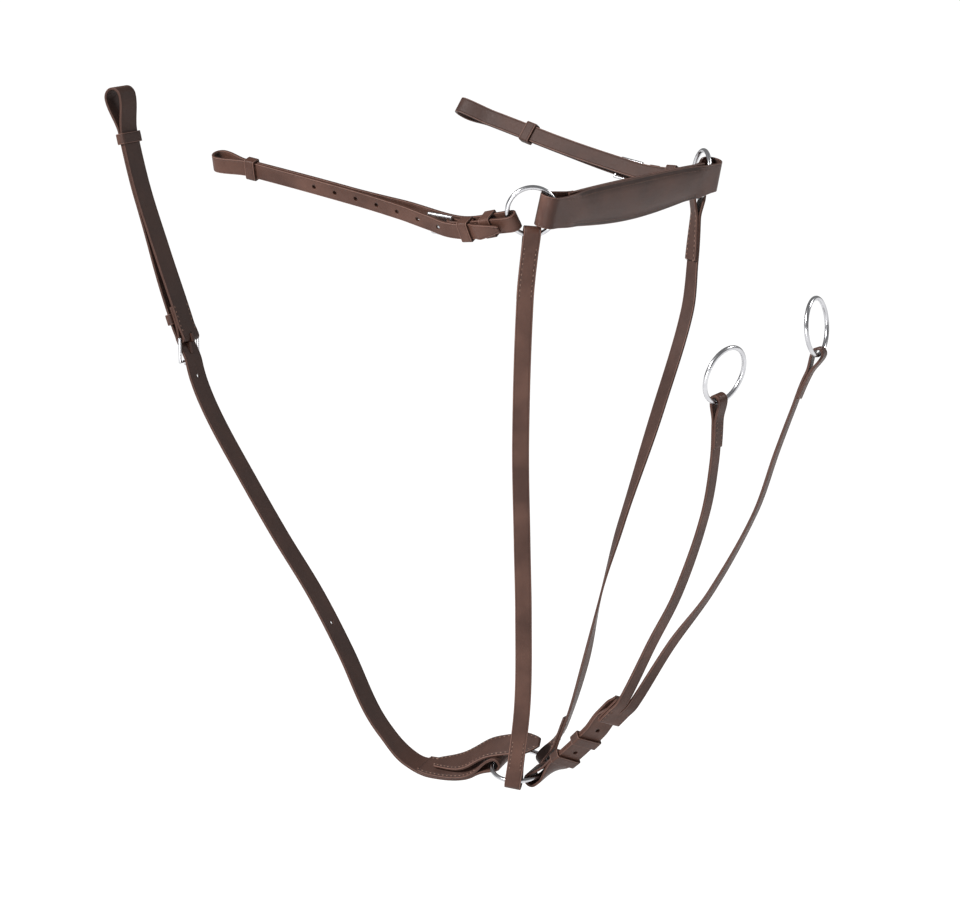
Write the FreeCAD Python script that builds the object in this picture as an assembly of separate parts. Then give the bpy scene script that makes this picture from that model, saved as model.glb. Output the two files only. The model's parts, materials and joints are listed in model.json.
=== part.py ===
"""Hunting breastplate with a running martingale fork: flat leather straps, round rings and buckles.

Frame: millimetres, +X forward along the horse, +Y to the horse's left, +Z up.
The origin is midway between the centres of the two wither rings, behind the wither pad.
A strap is a run of rectangular stations, one after another, lofted into one closed solid.
"""
import FreeCAD, Part
import math
import os
from FreeCAD import Vector

os.makedirs("parts", exist_ok=True)

# ---- driving sizes -------------------------------------------------------------------------
NECK_WIDTH = 16.0
SADDLE_WIDTH = 16.0
GIRTH_WIDTH = 25.0
MARTINGALE_WIDTH = 25.0    # before it is slit into two branches
SLIT = 1.0                 # leather lost to the slit
LEATHER = 2.4              # thickness of every strap
LAYER_GAP = 0.4            # air between two layers that lie together

WITHER_SPAN = 290.0        # between the centres of the wither rings
WITHER_RING_OUTER = 50.0
CHEST_RING_OUTER = 59.0
REIN_RING_OUTER = 58.0
RING_WIRE = 4.5
RING_PLAY = 1.5            # room between a ring's wire and the leather folded round it
FOLD_REACH = 20.0          # a ring fold closes to two flat layers over this length

BUCKLE_WIRE = 3.0
BUCKLE_LENGTH = 24.0       # from the heel bar to the crossbar, centre to centre
BUCKLE_SIDE_PLAY = 0.6     # between a strap's edge and the buckle's side bar
BAR_PLAY = 0.4             # between the heel bar and the leather folded round it
TONGUE_WIRE = 2.6
TONGUE_EYE_WALL = 1.1
TONGUE_PLAY = 0.08         # running clearance of the tongue's eye on the heel bar
TONGUE_SLOT_PLAY = 0.5     # each side of the tongue, in the slot of the fold
HOLE_RADIUS = 2.1
HOLE_PITCH = 24.0
KEEPER_LENGTH = 11.0       # along the strap
KEEPER_LEATHER = 2.0
KEEPER_PLAY = 0.5

PITCH = LEATHER + LAYER_GAP
LEVEL = PITCH / 2          # each of two layers that lie together is this far from the middle
SEAT_STEPS = 30            # places looked at, each way along a wire, where a fold holds it
BAR_FOLD = BUCKLE_WIRE / 2 + BAR_PLAY + LEATHER / 2
OVER_BAR = BAR_FOLD + PITCH    # a layer that passes over a fold round a heel bar

# ---- directions and easing ------------------------------------------------------------------


def unit(v):
    """The vector v at length 1."""
    return Vector(v) * (1.0 / v.Length)


def square_to(w, tangent):
    """The width direction w made square to the strap's tangent."""
    return unit(w - tangent * w.dot(tangent))


def mirror(v):
    """The point or direction on the other side of the horse."""
    return Vector(v.x, -v.y, v.z)


def level_way(degrees):
    """A level direction, turned from +X towards +Y."""
    return Vector(math.cos(math.radians(degrees)), math.sin(math.radians(degrees)), 0)


def blend(a, b, share):
    """A value between a and b, with a level start and end."""
    ease = share * share * (3 - 2 * share)
    return a + (b - a) * ease


def eased(*pairs):
    """An offset that eases through (distance, offset) pairs and stays level beyond them."""
    def offset(s):
        if s <= pairs[0][0]:
            return pairs[0][1]
        for (s_a, v_a), (s_b, v_b) in zip(pairs, pairs[1:]):
            if s <= s_b:
                return blend(v_a, v_b, (s - s_a) / (s_b - s_a))
        return pairs[-1][1]
    return offset


def signed(side, offset):
    """The same offset towards the other face where side is -1."""
    return lambda s: side * offset(s)


# ---- spines: a smooth line with a width direction at every place ----------------------------


class Spine:
    """A smooth line through hand-chosen points, each with the strap's width direction there."""

    STEP = 9.0

    def __init__(self, points, widths):
        self.places = []
        self.widths = []
        count = len(points)
        for i in range(count - 1):
            p = [points[max(i - 1, 0)], points[i], points[i + 1], points[min(i + 2, count - 1)]]
            spans = max(2, round((p[2] - p[1]).Length / self.STEP))
            start = (p[2] - p[0]) * (0.5 if i > 0 else 1.0)
            end = (p[3] - p[1]) * (0.5 if i < count - 2 else 1.0)
            start = unit(start) * (p[2] - p[1]).Length
            end = unit(end) * (p[2] - p[1]).Length
            for k in range(spans + (i == count - 2)):
                t = k / spans
                self.places.append(p[1] * (2 * t**3 - 3 * t**2 + 1) + start * (t**3 - 2 * t**2 + t)
                                   + p[2] * (3 * t**2 - 2 * t**3) + end * (t**3 - t**2))
                self.widths.append(blend(widths[i], widths[i + 1], t))
        self.lengths = [0.0]
        for a, b in zip(self.places, self.places[1:]):
            self.lengths.append(self.lengths[-1] + (b - a).Length)
        self.length = self.lengths[-1]

    def at(self, s):
        """Place, tangent, width and face directions at the distance s from the start."""
        s_in = min(max(s, 0.0), self.length)
        i = 0
        while i < len(self.lengths) - 2 and self.lengths[i + 1] < s_in:
            i += 1
        share = (s_in - self.lengths[i]) / (self.lengths[i + 1] - self.lengths[i])
        place = self.places[i] + (self.places[i + 1] - self.places[i]) * share
        here = unit(self.places[i + 1] - self.places[i])
        last = len(self.places) - 2
        before = unit(self.places[i] - self.places[i - 1]) if i > 0 else here
        after = unit(self.places[i + 2] - self.places[i + 1]) if i < last else here
        tangent = unit(unit(before + here) * (1 - share) + unit(here + after) * share)
        place = place + tangent * (s - s_in)
        width = square_to(self.widths[i] + (self.widths[i + 1] - self.widths[i]) * share, tangent)
        return place, tangent, width, tangent.cross(width)


def layer(spine, s_from, s_to, offset, width, step=9.0):
    """Stations of one leather layer that follows a spine at an offset along its face direction."""
    count = max(1, math.ceil(abs(s_to - s_from) / step))
    stations = []
    for k in range(count + 1):
        s = s_from + (s_to - s_from) * k / count
        place, _, way, face = spine.at(s)
        lift = offset(s) if callable(offset) else offset
        stations.append((place + face * lift, way, width(s) if callable(width) else width))
    return stations


def turn(spine, s, middle, radius, way, first_side, width, steps=8):
    """Stations of a half turn in a layer at s: way is +1 towards the spine's end, -1 to its start."""
    place, tangent, across, face = spine.at(s)
    centre = place + face * middle
    stations = []
    for k in range(1, steps):
        angle = math.pi * k / steps
        stations.append((centre + face * (first_side * radius * math.cos(angle))
                         + tangent * (way * radius * math.sin(angle)), across, width))
    return stations


def ribbon(stations, thickness=LEATHER):
    """A closed solid through stations: one rectangle each, square to the run of the strap."""
    wires = []
    last = len(stations) - 1
    for i, (place, across, width) in enumerate(stations):
        behind = unit(place - stations[i - 1][0]) if i > 0 else None
        ahead = unit(stations[i + 1][0] - place) if i < last else None
        tangent = unit((behind or ahead) + (ahead or behind))
        across = square_to(across, tangent)
        face = tangent.cross(across)
        corners = [place + across * (a * width / 2) + face * (b * thickness / 2)
                   for a, b in ((1, 1), (1, -1), (-1, -1), (-1, 1))]
        wires.append(Part.makePolygon(corners + corners[:1]))
    return Part.makeLoft(wires, True, True)


def tip_width(full, s_tip, taper, share=0.35):
    """A strap width that narrows to a blunt point at s_tip, over a taper length."""
    return lambda s: full * (share + (1 - share) * min(1.0, abs(s - s_tip) / taper))


# ---- rings, buckles, keepers ----------------------------------------------------------------


class Ring:
    """A round wire ring with its own in-plane directions: right across it and up across it."""

    def __init__(self, centre, normal, outer):
        self.centre = centre
        self.normal = unit(normal)
        self.radius = (outer - RING_WIRE) / 2
        self.right = unit(Vector(0, 0, 1).cross(self.normal))
        self.up = self.normal.cross(self.right)

    def solid(self):
        """The ring itself."""
        return Part.makeTorus(self.radius, RING_WIRE / 2, self.centre, self.normal)

    def wire_at(self, degrees):
        """The wire's centre line at an angle from the ring's right, and its tangent there."""
        a = math.radians(degrees)
        out = self.right * math.cos(a) + self.up * math.sin(a)
        return self.centre + out * self.radius, self.right * -math.sin(a) + self.up * math.cos(a)

    def seat(self, degrees, spine, s, width, leather=LEATHER, play=RING_PLAY):
        """How a fold on the spine at s holds the wire: its shift, its middle offset and its radius.

        The shift is towards the ring's own side of the fold, past the wire's middle.
        """
        place, tangent, across, face = spine.at(s)
        away = tangent if s < spine.length / 2 else tangent * -1
        past, offsets = [], []
        for k in range(-SEAT_STEPS, SEAT_STEPS + 1):
            point = self.wire_at(degrees + 60.0 * k / SEAT_STEPS)[0] - place
            if abs(point.dot(across)) <= width / 2 + 1:
                past.append(-point.dot(away))
                offsets.append(point.dot(face))
        middle = (max(offsets) + min(offsets)) / 2
        radius = (max(offsets) - min(offsets)) / 2 + RING_WIRE / 2 + play + leather / 2
        return max(past), middle, radius


def buckle_frame(heel, along, across, strap_width):
    """A rectangular wire frame from its heel bar along to its crossbar."""
    half = strap_width / 2 + BUCKLE_SIDE_PLAY + BUCKLE_WIRE / 2
    reach = along * BUCKLE_LENGTH
    corners = [heel + across * half, heel - across * half,
               heel - across * half + reach, heel + across * half + reach]
    frame = Part.makeSphere(BUCKLE_WIRE / 2, corners[0])
    for a, b in zip(corners, corners[1:] + corners[:1]):
        frame = frame.fuse(Part.makeCylinder(BUCKLE_WIRE / 2, (b - a).Length, a, b - a))
        frame = frame.fuse(Part.makeSphere(BUCKLE_WIRE / 2, b))
    return frame


def buckle_tongue(heel, across, elbow, tip):
    """A pin with an eye round the heel bar; it runs to its elbow and turns there to its tip."""
    eye = Part.makeCylinder(BUCKLE_WIRE / 2 + TONGUE_EYE_WALL, TONGUE_WIRE,
                            heel - across * (TONGUE_WIRE / 2), across)
    bore = Part.makeCylinder(BUCKLE_WIRE / 2 + TONGUE_PLAY, TONGUE_WIRE * 2,
                             heel - across * TONGUE_WIRE, across)
    start = heel + unit(elbow - heel) * (BUCKLE_WIRE / 2 + TONGUE_EYE_WALL / 2)
    pin = Part.makeCylinder(TONGUE_WIRE / 2, (elbow - start).Length, start, elbow - start)
    pin = pin.fuse(Part.makeSphere(TONGUE_WIRE / 2, elbow))
    if (tip - elbow).Length > LAYER_GAP:
        pin = pin.fuse(Part.makeCylinder(TONGUE_WIRE / 2, (tip - elbow).Length, elbow, tip - elbow))
    return eye.fuse(pin).cut(bore)


def slab(spine, s, s_length, across_half, low, high):
    """A box square to the spine at s, between two offsets along the face direction."""
    place, tangent, across, face = spine.at(s)
    corner = place - tangent * (s_length / 2) - across * across_half + face * low
    edge = across * (2 * across_half)
    rise = face * (high - low)
    base = Part.makePolygon([corner, corner + edge, corner + edge + rise, corner + rise, corner])
    return Part.Face(base).extrude(tangent * s_length)


def keeper(spine, s, offsets, width):
    """A closed leather band round some layers, square to the spine at s."""
    places = (s - KEEPER_LENGTH / 2, s, s + KEEPER_LENGTH / 2)
    levels = [offset(place) for offset in offsets for place in places]
    low = min(levels) - LEATHER / 2
    high = max(levels) + LEATHER / 2
    grow = KEEPER_PLAY + KEEPER_LEATHER
    outside = slab(spine, s, KEEPER_LENGTH, width / 2 + grow, low - grow, high + grow)
    inside = slab(spine, s, 2 * KEEPER_LENGTH, width / 2 + KEEPER_PLAY, low - KEEPER_PLAY,
                  high + KEEPER_PLAY)
    return outside.cut(inside)


def punched(strap, spine, distances, offset, cut_depth=LEATHER / 2 + 0.35):
    """The strap with round holes through the layer that lies at an offset."""
    for s in distances:
        place, _, _, face = spine.at(s)
        start = place + face * (offset(s) - cut_depth)
        strap = strap.cut(Part.makeCylinder(HOLE_RADIUS, 2 * cut_depth, start, face))
    return strap


def tongue_slot(spine, bar, way):
    """The cutter for the slot that lets a tongue through the fold round a heel bar."""
    eye = BUCKLE_WIRE / 2 + TONGUE_EYE_WALL + TONGUE_SLOT_PLAY
    reach = BAR_FOLD + LEATHER
    return slab(spine, bar + way * (reach - eye) / 2, reach + eye,
                TONGUE_WIRE / 2 + TONGUE_SLOT_PLAY, -BAR_FOLD - LEATHER, BAR_FOLD + LEATHER)


def save(name, shape):
    """Write one node's STEP file and print its volume."""
    note = "" if shape.isValid() and shape.Volume > 0 and len(shape.Solids) == 1 else "CHECK"
    print(f"{name:28s} solids {len(shape.Solids)} volume {shape.Volume / 1000:7.2f} cm3 {note}")
    shape.exportStep(f"parts/{name}.step")


# ---- rings ---------------------------------------------------------------------------------

WITHER_NORMAL = Vector(0.62, -0.76, -0.15)
RIGHT_RING = Ring(Vector(0, -WITHER_SPAN / 2, 0), WITHER_NORMAL, WITHER_RING_OUTER)
LEFT_RING = Ring(Vector(0, WITHER_SPAN / 2, 0), mirror(WITHER_NORMAL), WITHER_RING_OUTER)
CHEST_RING = Ring(Vector(-112, 0, -579), Vector(0.1, -0.28, 0.955), CHEST_RING_OUTER)
RIGHT_REIN_RING = Ring(Vector(162, -70, -146), Vector(0.958, -0.126, -0.251), REIN_RING_OUTER)
LEFT_REIN_RING = Ring(Vector(175, 72, -121), Vector(0.98, 0.17, 0.09), REIN_RING_OUTER)

WITHER_NECK_ANGLE = 270.0
WITHER_SADDLE_RIGHT = 206.0
WITHER_SADDLE_LEFT = 337.0
CHEST_RIGHT_ANGLE = 272.0
CHEST_LEFT_ANGLE = 34.0
CHEST_GIRTH_ANGLE = 163.0
CHEST_MARTINGALE_ANGLE = 337.0
REIN_ANGLE = 270.0

save("wither_ring_right", RIGHT_RING.solid())
save("wither_ring_left", LEFT_RING.solid())
save("chest_ring", CHEST_RING.solid())
save("rein_ring_right", RIGHT_REIN_RING.solid())
save("rein_ring_left", LEFT_REIN_RING.solid())

# ---- neck straps: sewn back on themselves round a wither ring and the chest ring ------------

NECK_LAP_TOP = 62.0
NECK_LAP_BOTTOM = 48.0


def neck_strap(spine, side, wither_ring, chest_angle):
    """A neck strap, its laps on the side's far face."""
    far = spine.length
    width = NECK_WIDTH
    shift, middle, fold = wither_ring.seat(WITHER_NECK_ANGLE, spine, 0.0, width)
    start = -shift
    shift, foot_middle, foot_fold = CHEST_RING.seat(chest_angle, spine, far, width)
    end = far + shift
    run = eased((start, middle + side * fold), (FOLD_REACH, side * LEVEL),
                (far - FOLD_REACH, side * LEVEL), (end, foot_middle + side * foot_fold))
    lap = eased((start, middle - side * fold), (FOLD_REACH, -side * LEVEL),
                (far - FOLD_REACH, -side * LEVEL), (end, foot_middle - side * foot_fold))
    stations = layer(spine, NECK_LAP_TOP, start, lap, width, 6.0)
    stations += turn(spine, start, middle, fold, -1, -side, width)
    stations += layer(spine, start, end, run, width, 6.0)
    stations += turn(spine, end, foot_middle, foot_fold, 1, side, width)
    stations += layer(spine, end, far - NECK_LAP_BOTTOM, lap, width, 6.0)
    return ribbon(stations)


right_top, right_top_way = RIGHT_RING.wire_at(WITHER_NECK_ANGLE)
right_foot, right_foot_way = CHEST_RING.wire_at(CHEST_RIGHT_ANGLE)
FLAT_WAY = Vector(0.8, 0.6, 0)
RIGHT_NECK = Spine(
    [right_top, Vector(-11, -140, -84), Vector(-32, -116, -222), Vector(-52, -84, -330),
     Vector(-64, -64, -405), Vector(-80, -42, -500), right_foot],
    [right_top_way] + [FLAT_WAY] * 5 + [right_foot_way])
save("neck_strap_right", neck_strap(RIGHT_NECK, 1, RIGHT_RING, CHEST_RIGHT_ANGLE))

left_top, left_top_way = LEFT_RING.wire_at(WITHER_NECK_ANGLE)
left_foot, left_foot_way = CHEST_RING.wire_at(CHEST_LEFT_ANGLE)
LEFT_NECK = Spine(
    [left_top, Vector(-7, 141, -84), Vector(-8, 133, -135), Vector(-22, 107, -224),
     Vector(-48, 80, -340), Vector(-59, 62, -407), Vector(-67, 45, -478), Vector(-80, 30, -540),
     left_foot],
    [left_top_way * -1, level_way(-20), level_way(-12), level_way(-15), level_way(-40),
     level_way(-60), level_way(-80), level_way(-72), left_foot_way * -1])
save("neck_strap_left", neck_strap(LEFT_NECK, -1, LEFT_RING, CHEST_LEFT_ANGLE))

# ---- wither pad: a stuffed band whose cover turns round both wither rings -------------------

PAD_END_WIDTH = 30.0
PAD_MIDDLE_WIDTH = 42.0
PAD_FOAM = 5.0
PAD_LEATHER = 2.0
PAD_SAG = 4.0              # the middle of the pad hangs this much below its ends
PAD_CLEAR = 0.2            # between the foam and the leather on it
PAD_WIRE_PLAY = 1.2
PAD_LAP = 24.0
PAD_FOAM_MARGIN = 9.0      # sewn edge of the pad outside the foam
PAD_WAY = Vector(0.226, 0, 0.974)

pad_start = RIGHT_RING.wire_at(0.0)[0]
PAD = Spine([pad_start, Vector(pad_start.x - 1, 0, -PAD_SAG), mirror(pad_start)], [PAD_WAY] * 3)
pad_shift, pad_middle, PAD_FOLD = RIGHT_RING.seat(0.0, PAD, 0.0, PAD_END_WIDTH, PAD_LEATHER,
                                                  PAD_WIRE_PLAY)
PAD_LEVEL = (PAD_FOAM + PAD_LEATHER) / 2 + PAD_CLEAR


def pad_width(s):
    """The pad's width, wider towards its middle."""
    share = min(max(s / PAD.length, 0.0), 1.0)
    return PAD_END_WIDTH + (PAD_MIDDLE_WIDTH - PAD_END_WIDTH) * math.sin(math.pi * share)


def pad_cover():
    """The pad's outer leather, with a fold round each wither ring and a lap behind it."""
    far = PAD.length
    middle = pad_middle
    front = eased((-pad_shift, middle + PAD_FOLD), (PAD_LAP, PAD_LEVEL),
                  (far - PAD_LAP, PAD_LEVEL), (far + pad_shift, middle + PAD_FOLD))
    behind = eased((-pad_shift, middle - PAD_FOLD), (PAD_LAP, -PAD_LEVEL),
                   (far - PAD_LAP, -PAD_LEVEL), (far + pad_shift, middle - PAD_FOLD))
    stations = layer(PAD, PAD_LAP, -pad_shift, behind, pad_width, 4.0)
    stations += turn(PAD, -pad_shift, middle, PAD_FOLD, -1, -1, PAD_END_WIDTH)
    stations += layer(PAD, -pad_shift, far + pad_shift, front, pad_width, 6.0)
    stations += turn(PAD, far + pad_shift, middle, PAD_FOLD, 1, 1, PAD_END_WIDTH)
    stations += layer(PAD, far + pad_shift, far - PAD_LAP, behind, pad_width, 4.0)
    return ribbon(stations, PAD_LEATHER)


save("wither_pad_cover", pad_cover())
save("wither_pad_lining", ribbon(layer(PAD, PAD_LAP + LAYER_GAP, PAD.length - PAD_LAP - LAYER_GAP,
                                       -PAD_LEVEL, pad_width), PAD_LEATHER))
save("wither_pad_foam", ribbon(layer(PAD, PAD_LAP, PAD.length - PAD_LAP, 0.0,
                                     lambda s: pad_width(s) - 2 * PAD_FOAM_MARGIN / 2), PAD_FOAM))

# ---- saddle straps: round the wither ring, back to a loop, forward again to a buckle --------

SADDLE_BUCKLE_AT = 64.0    # heel bar, measured from the wither ring
SADDLE_TAIL = 26.0         # turned-back end of the lap that holds the buckle
SADDLE_TIP_AT = 6.0
SADDLE_TIP_TAPER = 24.0
SADDLE_LOOP_RADIUS = {"right": 7.5, "left": 9.5}
SADDLE_LOOP_REACH = 32.0
SADDLE_HOLES = 7
SADDLE_PEG_AT = 12.0       # the hole in use, measured from the heel bar
RING_KEEPER_AT = 22.0
BUCKLE_KEEPER_AT = 46.0
BEHIND_BUCKLE = 1.4        # extra room for the long layer behind the buckle


def saddle_strap(name, spine, side, ring, angle, loop_keeper_back):
    """One saddle strap with its buckle and keepers; side is +1 where +face is the horse's side."""
    loop_radius = SADDLE_LOOP_RADIUS[name]
    loop_at = spine.length - loop_radius
    bar = SADDLE_BUCKLE_AT
    width = SADDLE_WIDTH
    shift, middle, fold = ring.seat(angle, spine, 0.0, width)
    start = -shift
    middle = side * middle
    main = signed(side, eased(
        (start, middle + fold), (BUCKLE_KEEPER_AT - 10, OVER_BAR + BEHIND_BUCKLE),
        (bar + 10, OVER_BAR + BEHIND_BUCKLE), (bar + 120, LEVEL + 0.6),
        (loop_at - SADDLE_LOOP_REACH, LEVEL), (loop_at, loop_radius)))
    lap = signed(side, eased((start, middle - fold), (36, -LEVEL), (bar - 14, -LEVEL),
                             (bar, -BAR_FOLD)))
    tail = signed(side, eased((bar - 14, LEVEL), (bar, BAR_FOLD)))
    billet = signed(side, eased(
        (SADDLE_TIP_AT, -10.5), (RING_KEEPER_AT + 8, -9.4), (BUCKLE_KEEPER_AT - 6, -OVER_BAR),
        (bar + 2, -OVER_BAR), (bar + BUCKLE_LENGTH, -3.8), (bar + 110, -LEVEL - 0.4),
        (loop_at - SADDLE_LOOP_REACH, -LEVEL), (loop_at, -loop_radius)))

    stations = layer(spine, bar - SADDLE_TAIL, bar, tail, width, 4.0)
    stations += turn(spine, bar, 0.0, BAR_FOLD, 1, side, width, 6)
    stations += layer(spine, bar, start, lap, width, 4.0)
    stations += turn(spine, start, side * middle, fold, -1, -side, width)
    stations += layer(spine, start, loop_at, main, width, 8.0)
    stations += turn(spine, loop_at, 0.0, loop_radius, 1, side, width)
    stations += layer(spine, loop_at, SADDLE_TIP_AT, billet,
                      tip_width(width, SADDLE_TIP_AT, SADDLE_TIP_TAPER), 7.0)
    holes = [bar + SADDLE_PEG_AT + k * HOLE_PITCH for k in range(SADDLE_HOLES)]
    strap = punched(ribbon(stations), spine, holes, billet).cut(tongue_slot(spine, bar, 1))
    save(f"saddle_strap_{name}", strap)

    heel, along, across, _ = spine.at(bar)
    elbow = heel + along * SADDLE_PEG_AT
    face = spine.at(bar + SADDLE_PEG_AT)[3]
    save(f"saddle_buckle_{name}", buckle_frame(heel, along, across, width))
    save(f"saddle_tongue_{name}", buckle_tongue(heel, across, elbow,
                                                elbow + face * billet(bar + SADDLE_PEG_AT)))
    save(f"saddle_ring_keeper_{name}", keeper(spine, RING_KEEPER_AT, [main, lap], width))
    save(f"saddle_buckle_keeper_{name}", keeper(spine, BUCKLE_KEEPER_AT, [billet, tail], width))
    save(f"saddle_loop_keeper_{name}", keeper(spine, spine.length - loop_keeper_back,
                                              [billet, main], width))


RIGHT_SADDLE = Spine(
    [RIGHT_RING.wire_at(WITHER_SADDLE_RIGHT)[0], Vector(-72, -158, -20), Vector(-138, -160, -9),
     Vector(-221, -163, 4), Vector(-300, -165, 15), Vector(-352, -165, 21)],
    [Vector(-0.1, -0.45, 0.88), Vector(0, -0.4, 0.92), Vector(0, -0.35, 0.94),
     Vector(0, -0.33, 0.94), Vector(0, -0.31, 0.95), Vector(0, -0.31, 0.95)])
LEFT_SADDLE = Spine(
    [LEFT_RING.wire_at(WITHER_SADDLE_LEFT)[0], Vector(-66, 158, -9), Vector(-111, 160, -2),
     Vector(-177, 163, 12), Vector(-240, 165, 27), Vector(-300, 166, 41)],
    [Vector(-0.1, 0.5, 0.86)] * 3
    + [Vector(0, 0.48, 0.88), Vector(0, 0.5, 0.87), Vector(0, 0.5, 0.87)])
saddle_strap("right", RIGHT_SADDLE, 1, RIGHT_RING, WITHER_SADDLE_RIGHT, 45.0)
saddle_strap("left", LEFT_SADDLE, -1, LEFT_RING, WITHER_SADDLE_LEFT, 88.0)

# ---- girth strap: round the chest ring, back and up to a loop, down again to its buckle -----

GIRTH_LAP = 92.0
GIRTH_LOOP_RADIUS = 9.6
GIRTH_LOOP_REACH = 38.0
GIRTH_TAIL = 34.0          # turned-back end that holds the buckle
GIRTH_LOOP_RUN = 264.0     # from the heel bar to the top of the loop
GIRTH_PEG_BACK = 7.0       # the hole in use, below the heel bar
GIRTH_HOLE_NEAR_CHEST = 330.0
KEEPER_ROOM = 1.0          # the billet stands this much further out under the buckle keeper
GIRTH_CROSSBAR_OUT = 6.0   # the crossbar stands off the strap's back by this much

girth_foot, girth_foot_way = CHEST_RING.wire_at(CHEST_GIRTH_ANGLE)
GIRTH = Spine(
    [girth_foot, Vector(-176, -1, -592), Vector(-214, 0, -598), Vector(-243, 0, -593),
     Vector(-272, 0, -573), Vector(-294, 0, -548), Vector(-324, 0, -496), Vector(-362, 0, -440),
     Vector(-407, 0, -385), Vector(-448, 0, -331), Vector(-489, 0, -274), Vector(-510, 0, -235),
     Vector(-523, 0, -190), Vector(-557, 0, -107), Vector(-583, 0, -40), Vector(-609, 0, 55)],
    [girth_foot_way * -1, Vector(0, 0.7, 0.71), Vector(0, 0.86, 0.5), Vector(0, 0.97, 0.2)]
    + [Vector(0, 1, 0)] * 12)


def girth_strap():
    """The girth strap with its buckle, its keepers and the guard behind the chest ring."""
    top = GIRTH.length - GIRTH_LOOP_RADIUS
    bar = GIRTH.length - GIRTH_LOOP_RUN
    width = GIRTH_WIDTH
    shift, middle, fold = CHEST_RING.seat(CHEST_GIRTH_ANGLE, GIRTH, 0.0, width)
    start = -shift
    rising = eased((start, middle + fold), (FOLD_REACH + 6, LEVEL), (GIRTH_LAP + 20, LEVEL),
                   (GIRTH_LAP + 60, 0.0), (bar - 26, 0.0), (bar + 2, OVER_BAR),
                   (bar + 14, OVER_BAR + KEEPER_ROOM),
                   (bar + GIRTH_TAIL, OVER_BAR + KEEPER_ROOM), (bar + 150, LEVEL),
                   (top - GIRTH_LOOP_REACH, LEVEL), (top, GIRTH_LOOP_RADIUS))
    lap = eased((start, middle - fold), (FOLD_REACH + 6, -LEVEL))
    falling = eased((bar, -BAR_FOLD), (bar + 14, -LEVEL), (top - GIRTH_LOOP_REACH, -LEVEL),
                    (top, -GIRTH_LOOP_RADIUS))
    tail = eased((bar, BAR_FOLD), (bar + 14, LEVEL))
    stations = layer(GIRTH, GIRTH_LAP, start, lap, width, 5.0)
    stations += turn(GIRTH, start, middle, fold, -1, -1, width)
    stations += layer(GIRTH, start, top, rising, width, 7.0)
    stations += turn(GIRTH, top, 0.0, GIRTH_LOOP_RADIUS, 1, 1, width)
    stations += layer(GIRTH, top, bar, falling, width, 7.0)
    stations += turn(GIRTH, bar, 0.0, BAR_FOLD, -1, -1, width, 6)
    stations += layer(GIRTH, bar, bar + GIRTH_TAIL, tail, width, 4.0)
    heel, along, across, face = GIRTH.at(bar)
    crossbar = GIRTH.at(bar - BUCKLE_LENGTH)[0] + face * GIRTH_CROSSBAR_OUT
    way = unit(crossbar - heel)
    pin_tip = heel + way * (BUCKLE_LENGTH + 3) + face * (BUCKLE_WIRE + TONGUE_WIRE)
    holes = [bar - GIRTH_PEG_BACK - HOLE_PITCH * 1.4, bar - GIRTH_HOLE_NEAR_CHEST]
    strap = punched(ribbon(stations), GIRTH, holes, rising)
    strap = strap.cut(tongue_slot(GIRTH, bar, -1))
    slot = slab(GIRTH, bar - GIRTH_PEG_BACK - 2, 16.0, TONGUE_WIRE / 2 + TONGUE_SLOT_PLAY, 0.2, 9.0)
    strap = strap.cut(slot)
    save("girth_strap", strap)
    save("girth_buckle", buckle_frame(heel, way, across, width))
    save("girth_tongue", buckle_tongue(heel, across, pin_tip, pin_tip))
    save("girth_buckle_keeper", keeper(GIRTH, bar + 22, [rising], width))
    save("girth_loop_keeper", keeper(GIRTH, GIRTH.length - 52, [rising, falling], width))


girth_strap()

# ---- guard: a leather tongue sewn on the girth strap that lies behind the chest ring --------

GUARD_TIP_TAPER = 14.0
GUARD = Spine(
    [Vector(-212, 0, -592), Vector(-178, -3, -584), Vector(-142, -4, -564), Vector(-92, 6, -553)],
    [Vector(0, 0.84, 0.55), Vector(0, 0.74, 0.67), Vector(0, 0.75, 0.66), Vector(0, 0.75, 0.66)])
save("ring_guard", ribbon(layer(GUARD, 0.0, GUARD.length, 0.0,
                                tip_width(GIRTH_WIDTH, GUARD.length, GUARD_TIP_TAPER, 0.4), 4.0)))

# ---- martingale: a slit fork strap, and the strap that holds it to the chest ring -----------

FORK_WAY = Vector(0.345, 0.866, -0.36)
BRANCH_WIDTH = (MARTINGALE_WIDTH - SLIT) / 2
BRANCH_OUT = (MARTINGALE_WIDTH + SLIT) / 4
FORK_END_AT = 103.0        # lower end of the fork strap, measured from the chest ring
FORK_TAIL = 30.0           # its turned-under end
FORK_TURN = 1.6            # radius of that turn
FORK_OUT = 5.8             # the fork strap stands off the middle line by this much
SLIT_AT = 121.0
BILLET_TIP_AT = 117.0
BILLET_TAPER = 14.0
BILLET_UNDER = 1.6         # the billet's offset under the fork strap's end
SEWN_UNDER = 4.4           # the long layer's offset there
MARTINGALE_HOLES = (48.0, 85.0)
MARTINGALE_KEEPERS = {"lower": 33.0, "upper": 66.0}
STUD_AT = 109.0
STUD_RADIUS = 1.5
STUD_HEAD_RADIUS = 3.4
STUD_HEAD = 1.2
REIN_LAP = 46.0

martingale_foot, martingale_foot_way = CHEST_RING.wire_at(CHEST_MARTINGALE_ANGLE)
MARTINGALE = Spine(
    [martingale_foot, Vector(-62, 0, -566), Vector(-35, 0, -541), Vector(-10, 0, -515),
     Vector(12, 0, -492)],
    [martingale_foot_way] + [FORK_WAY] * 4)


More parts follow.
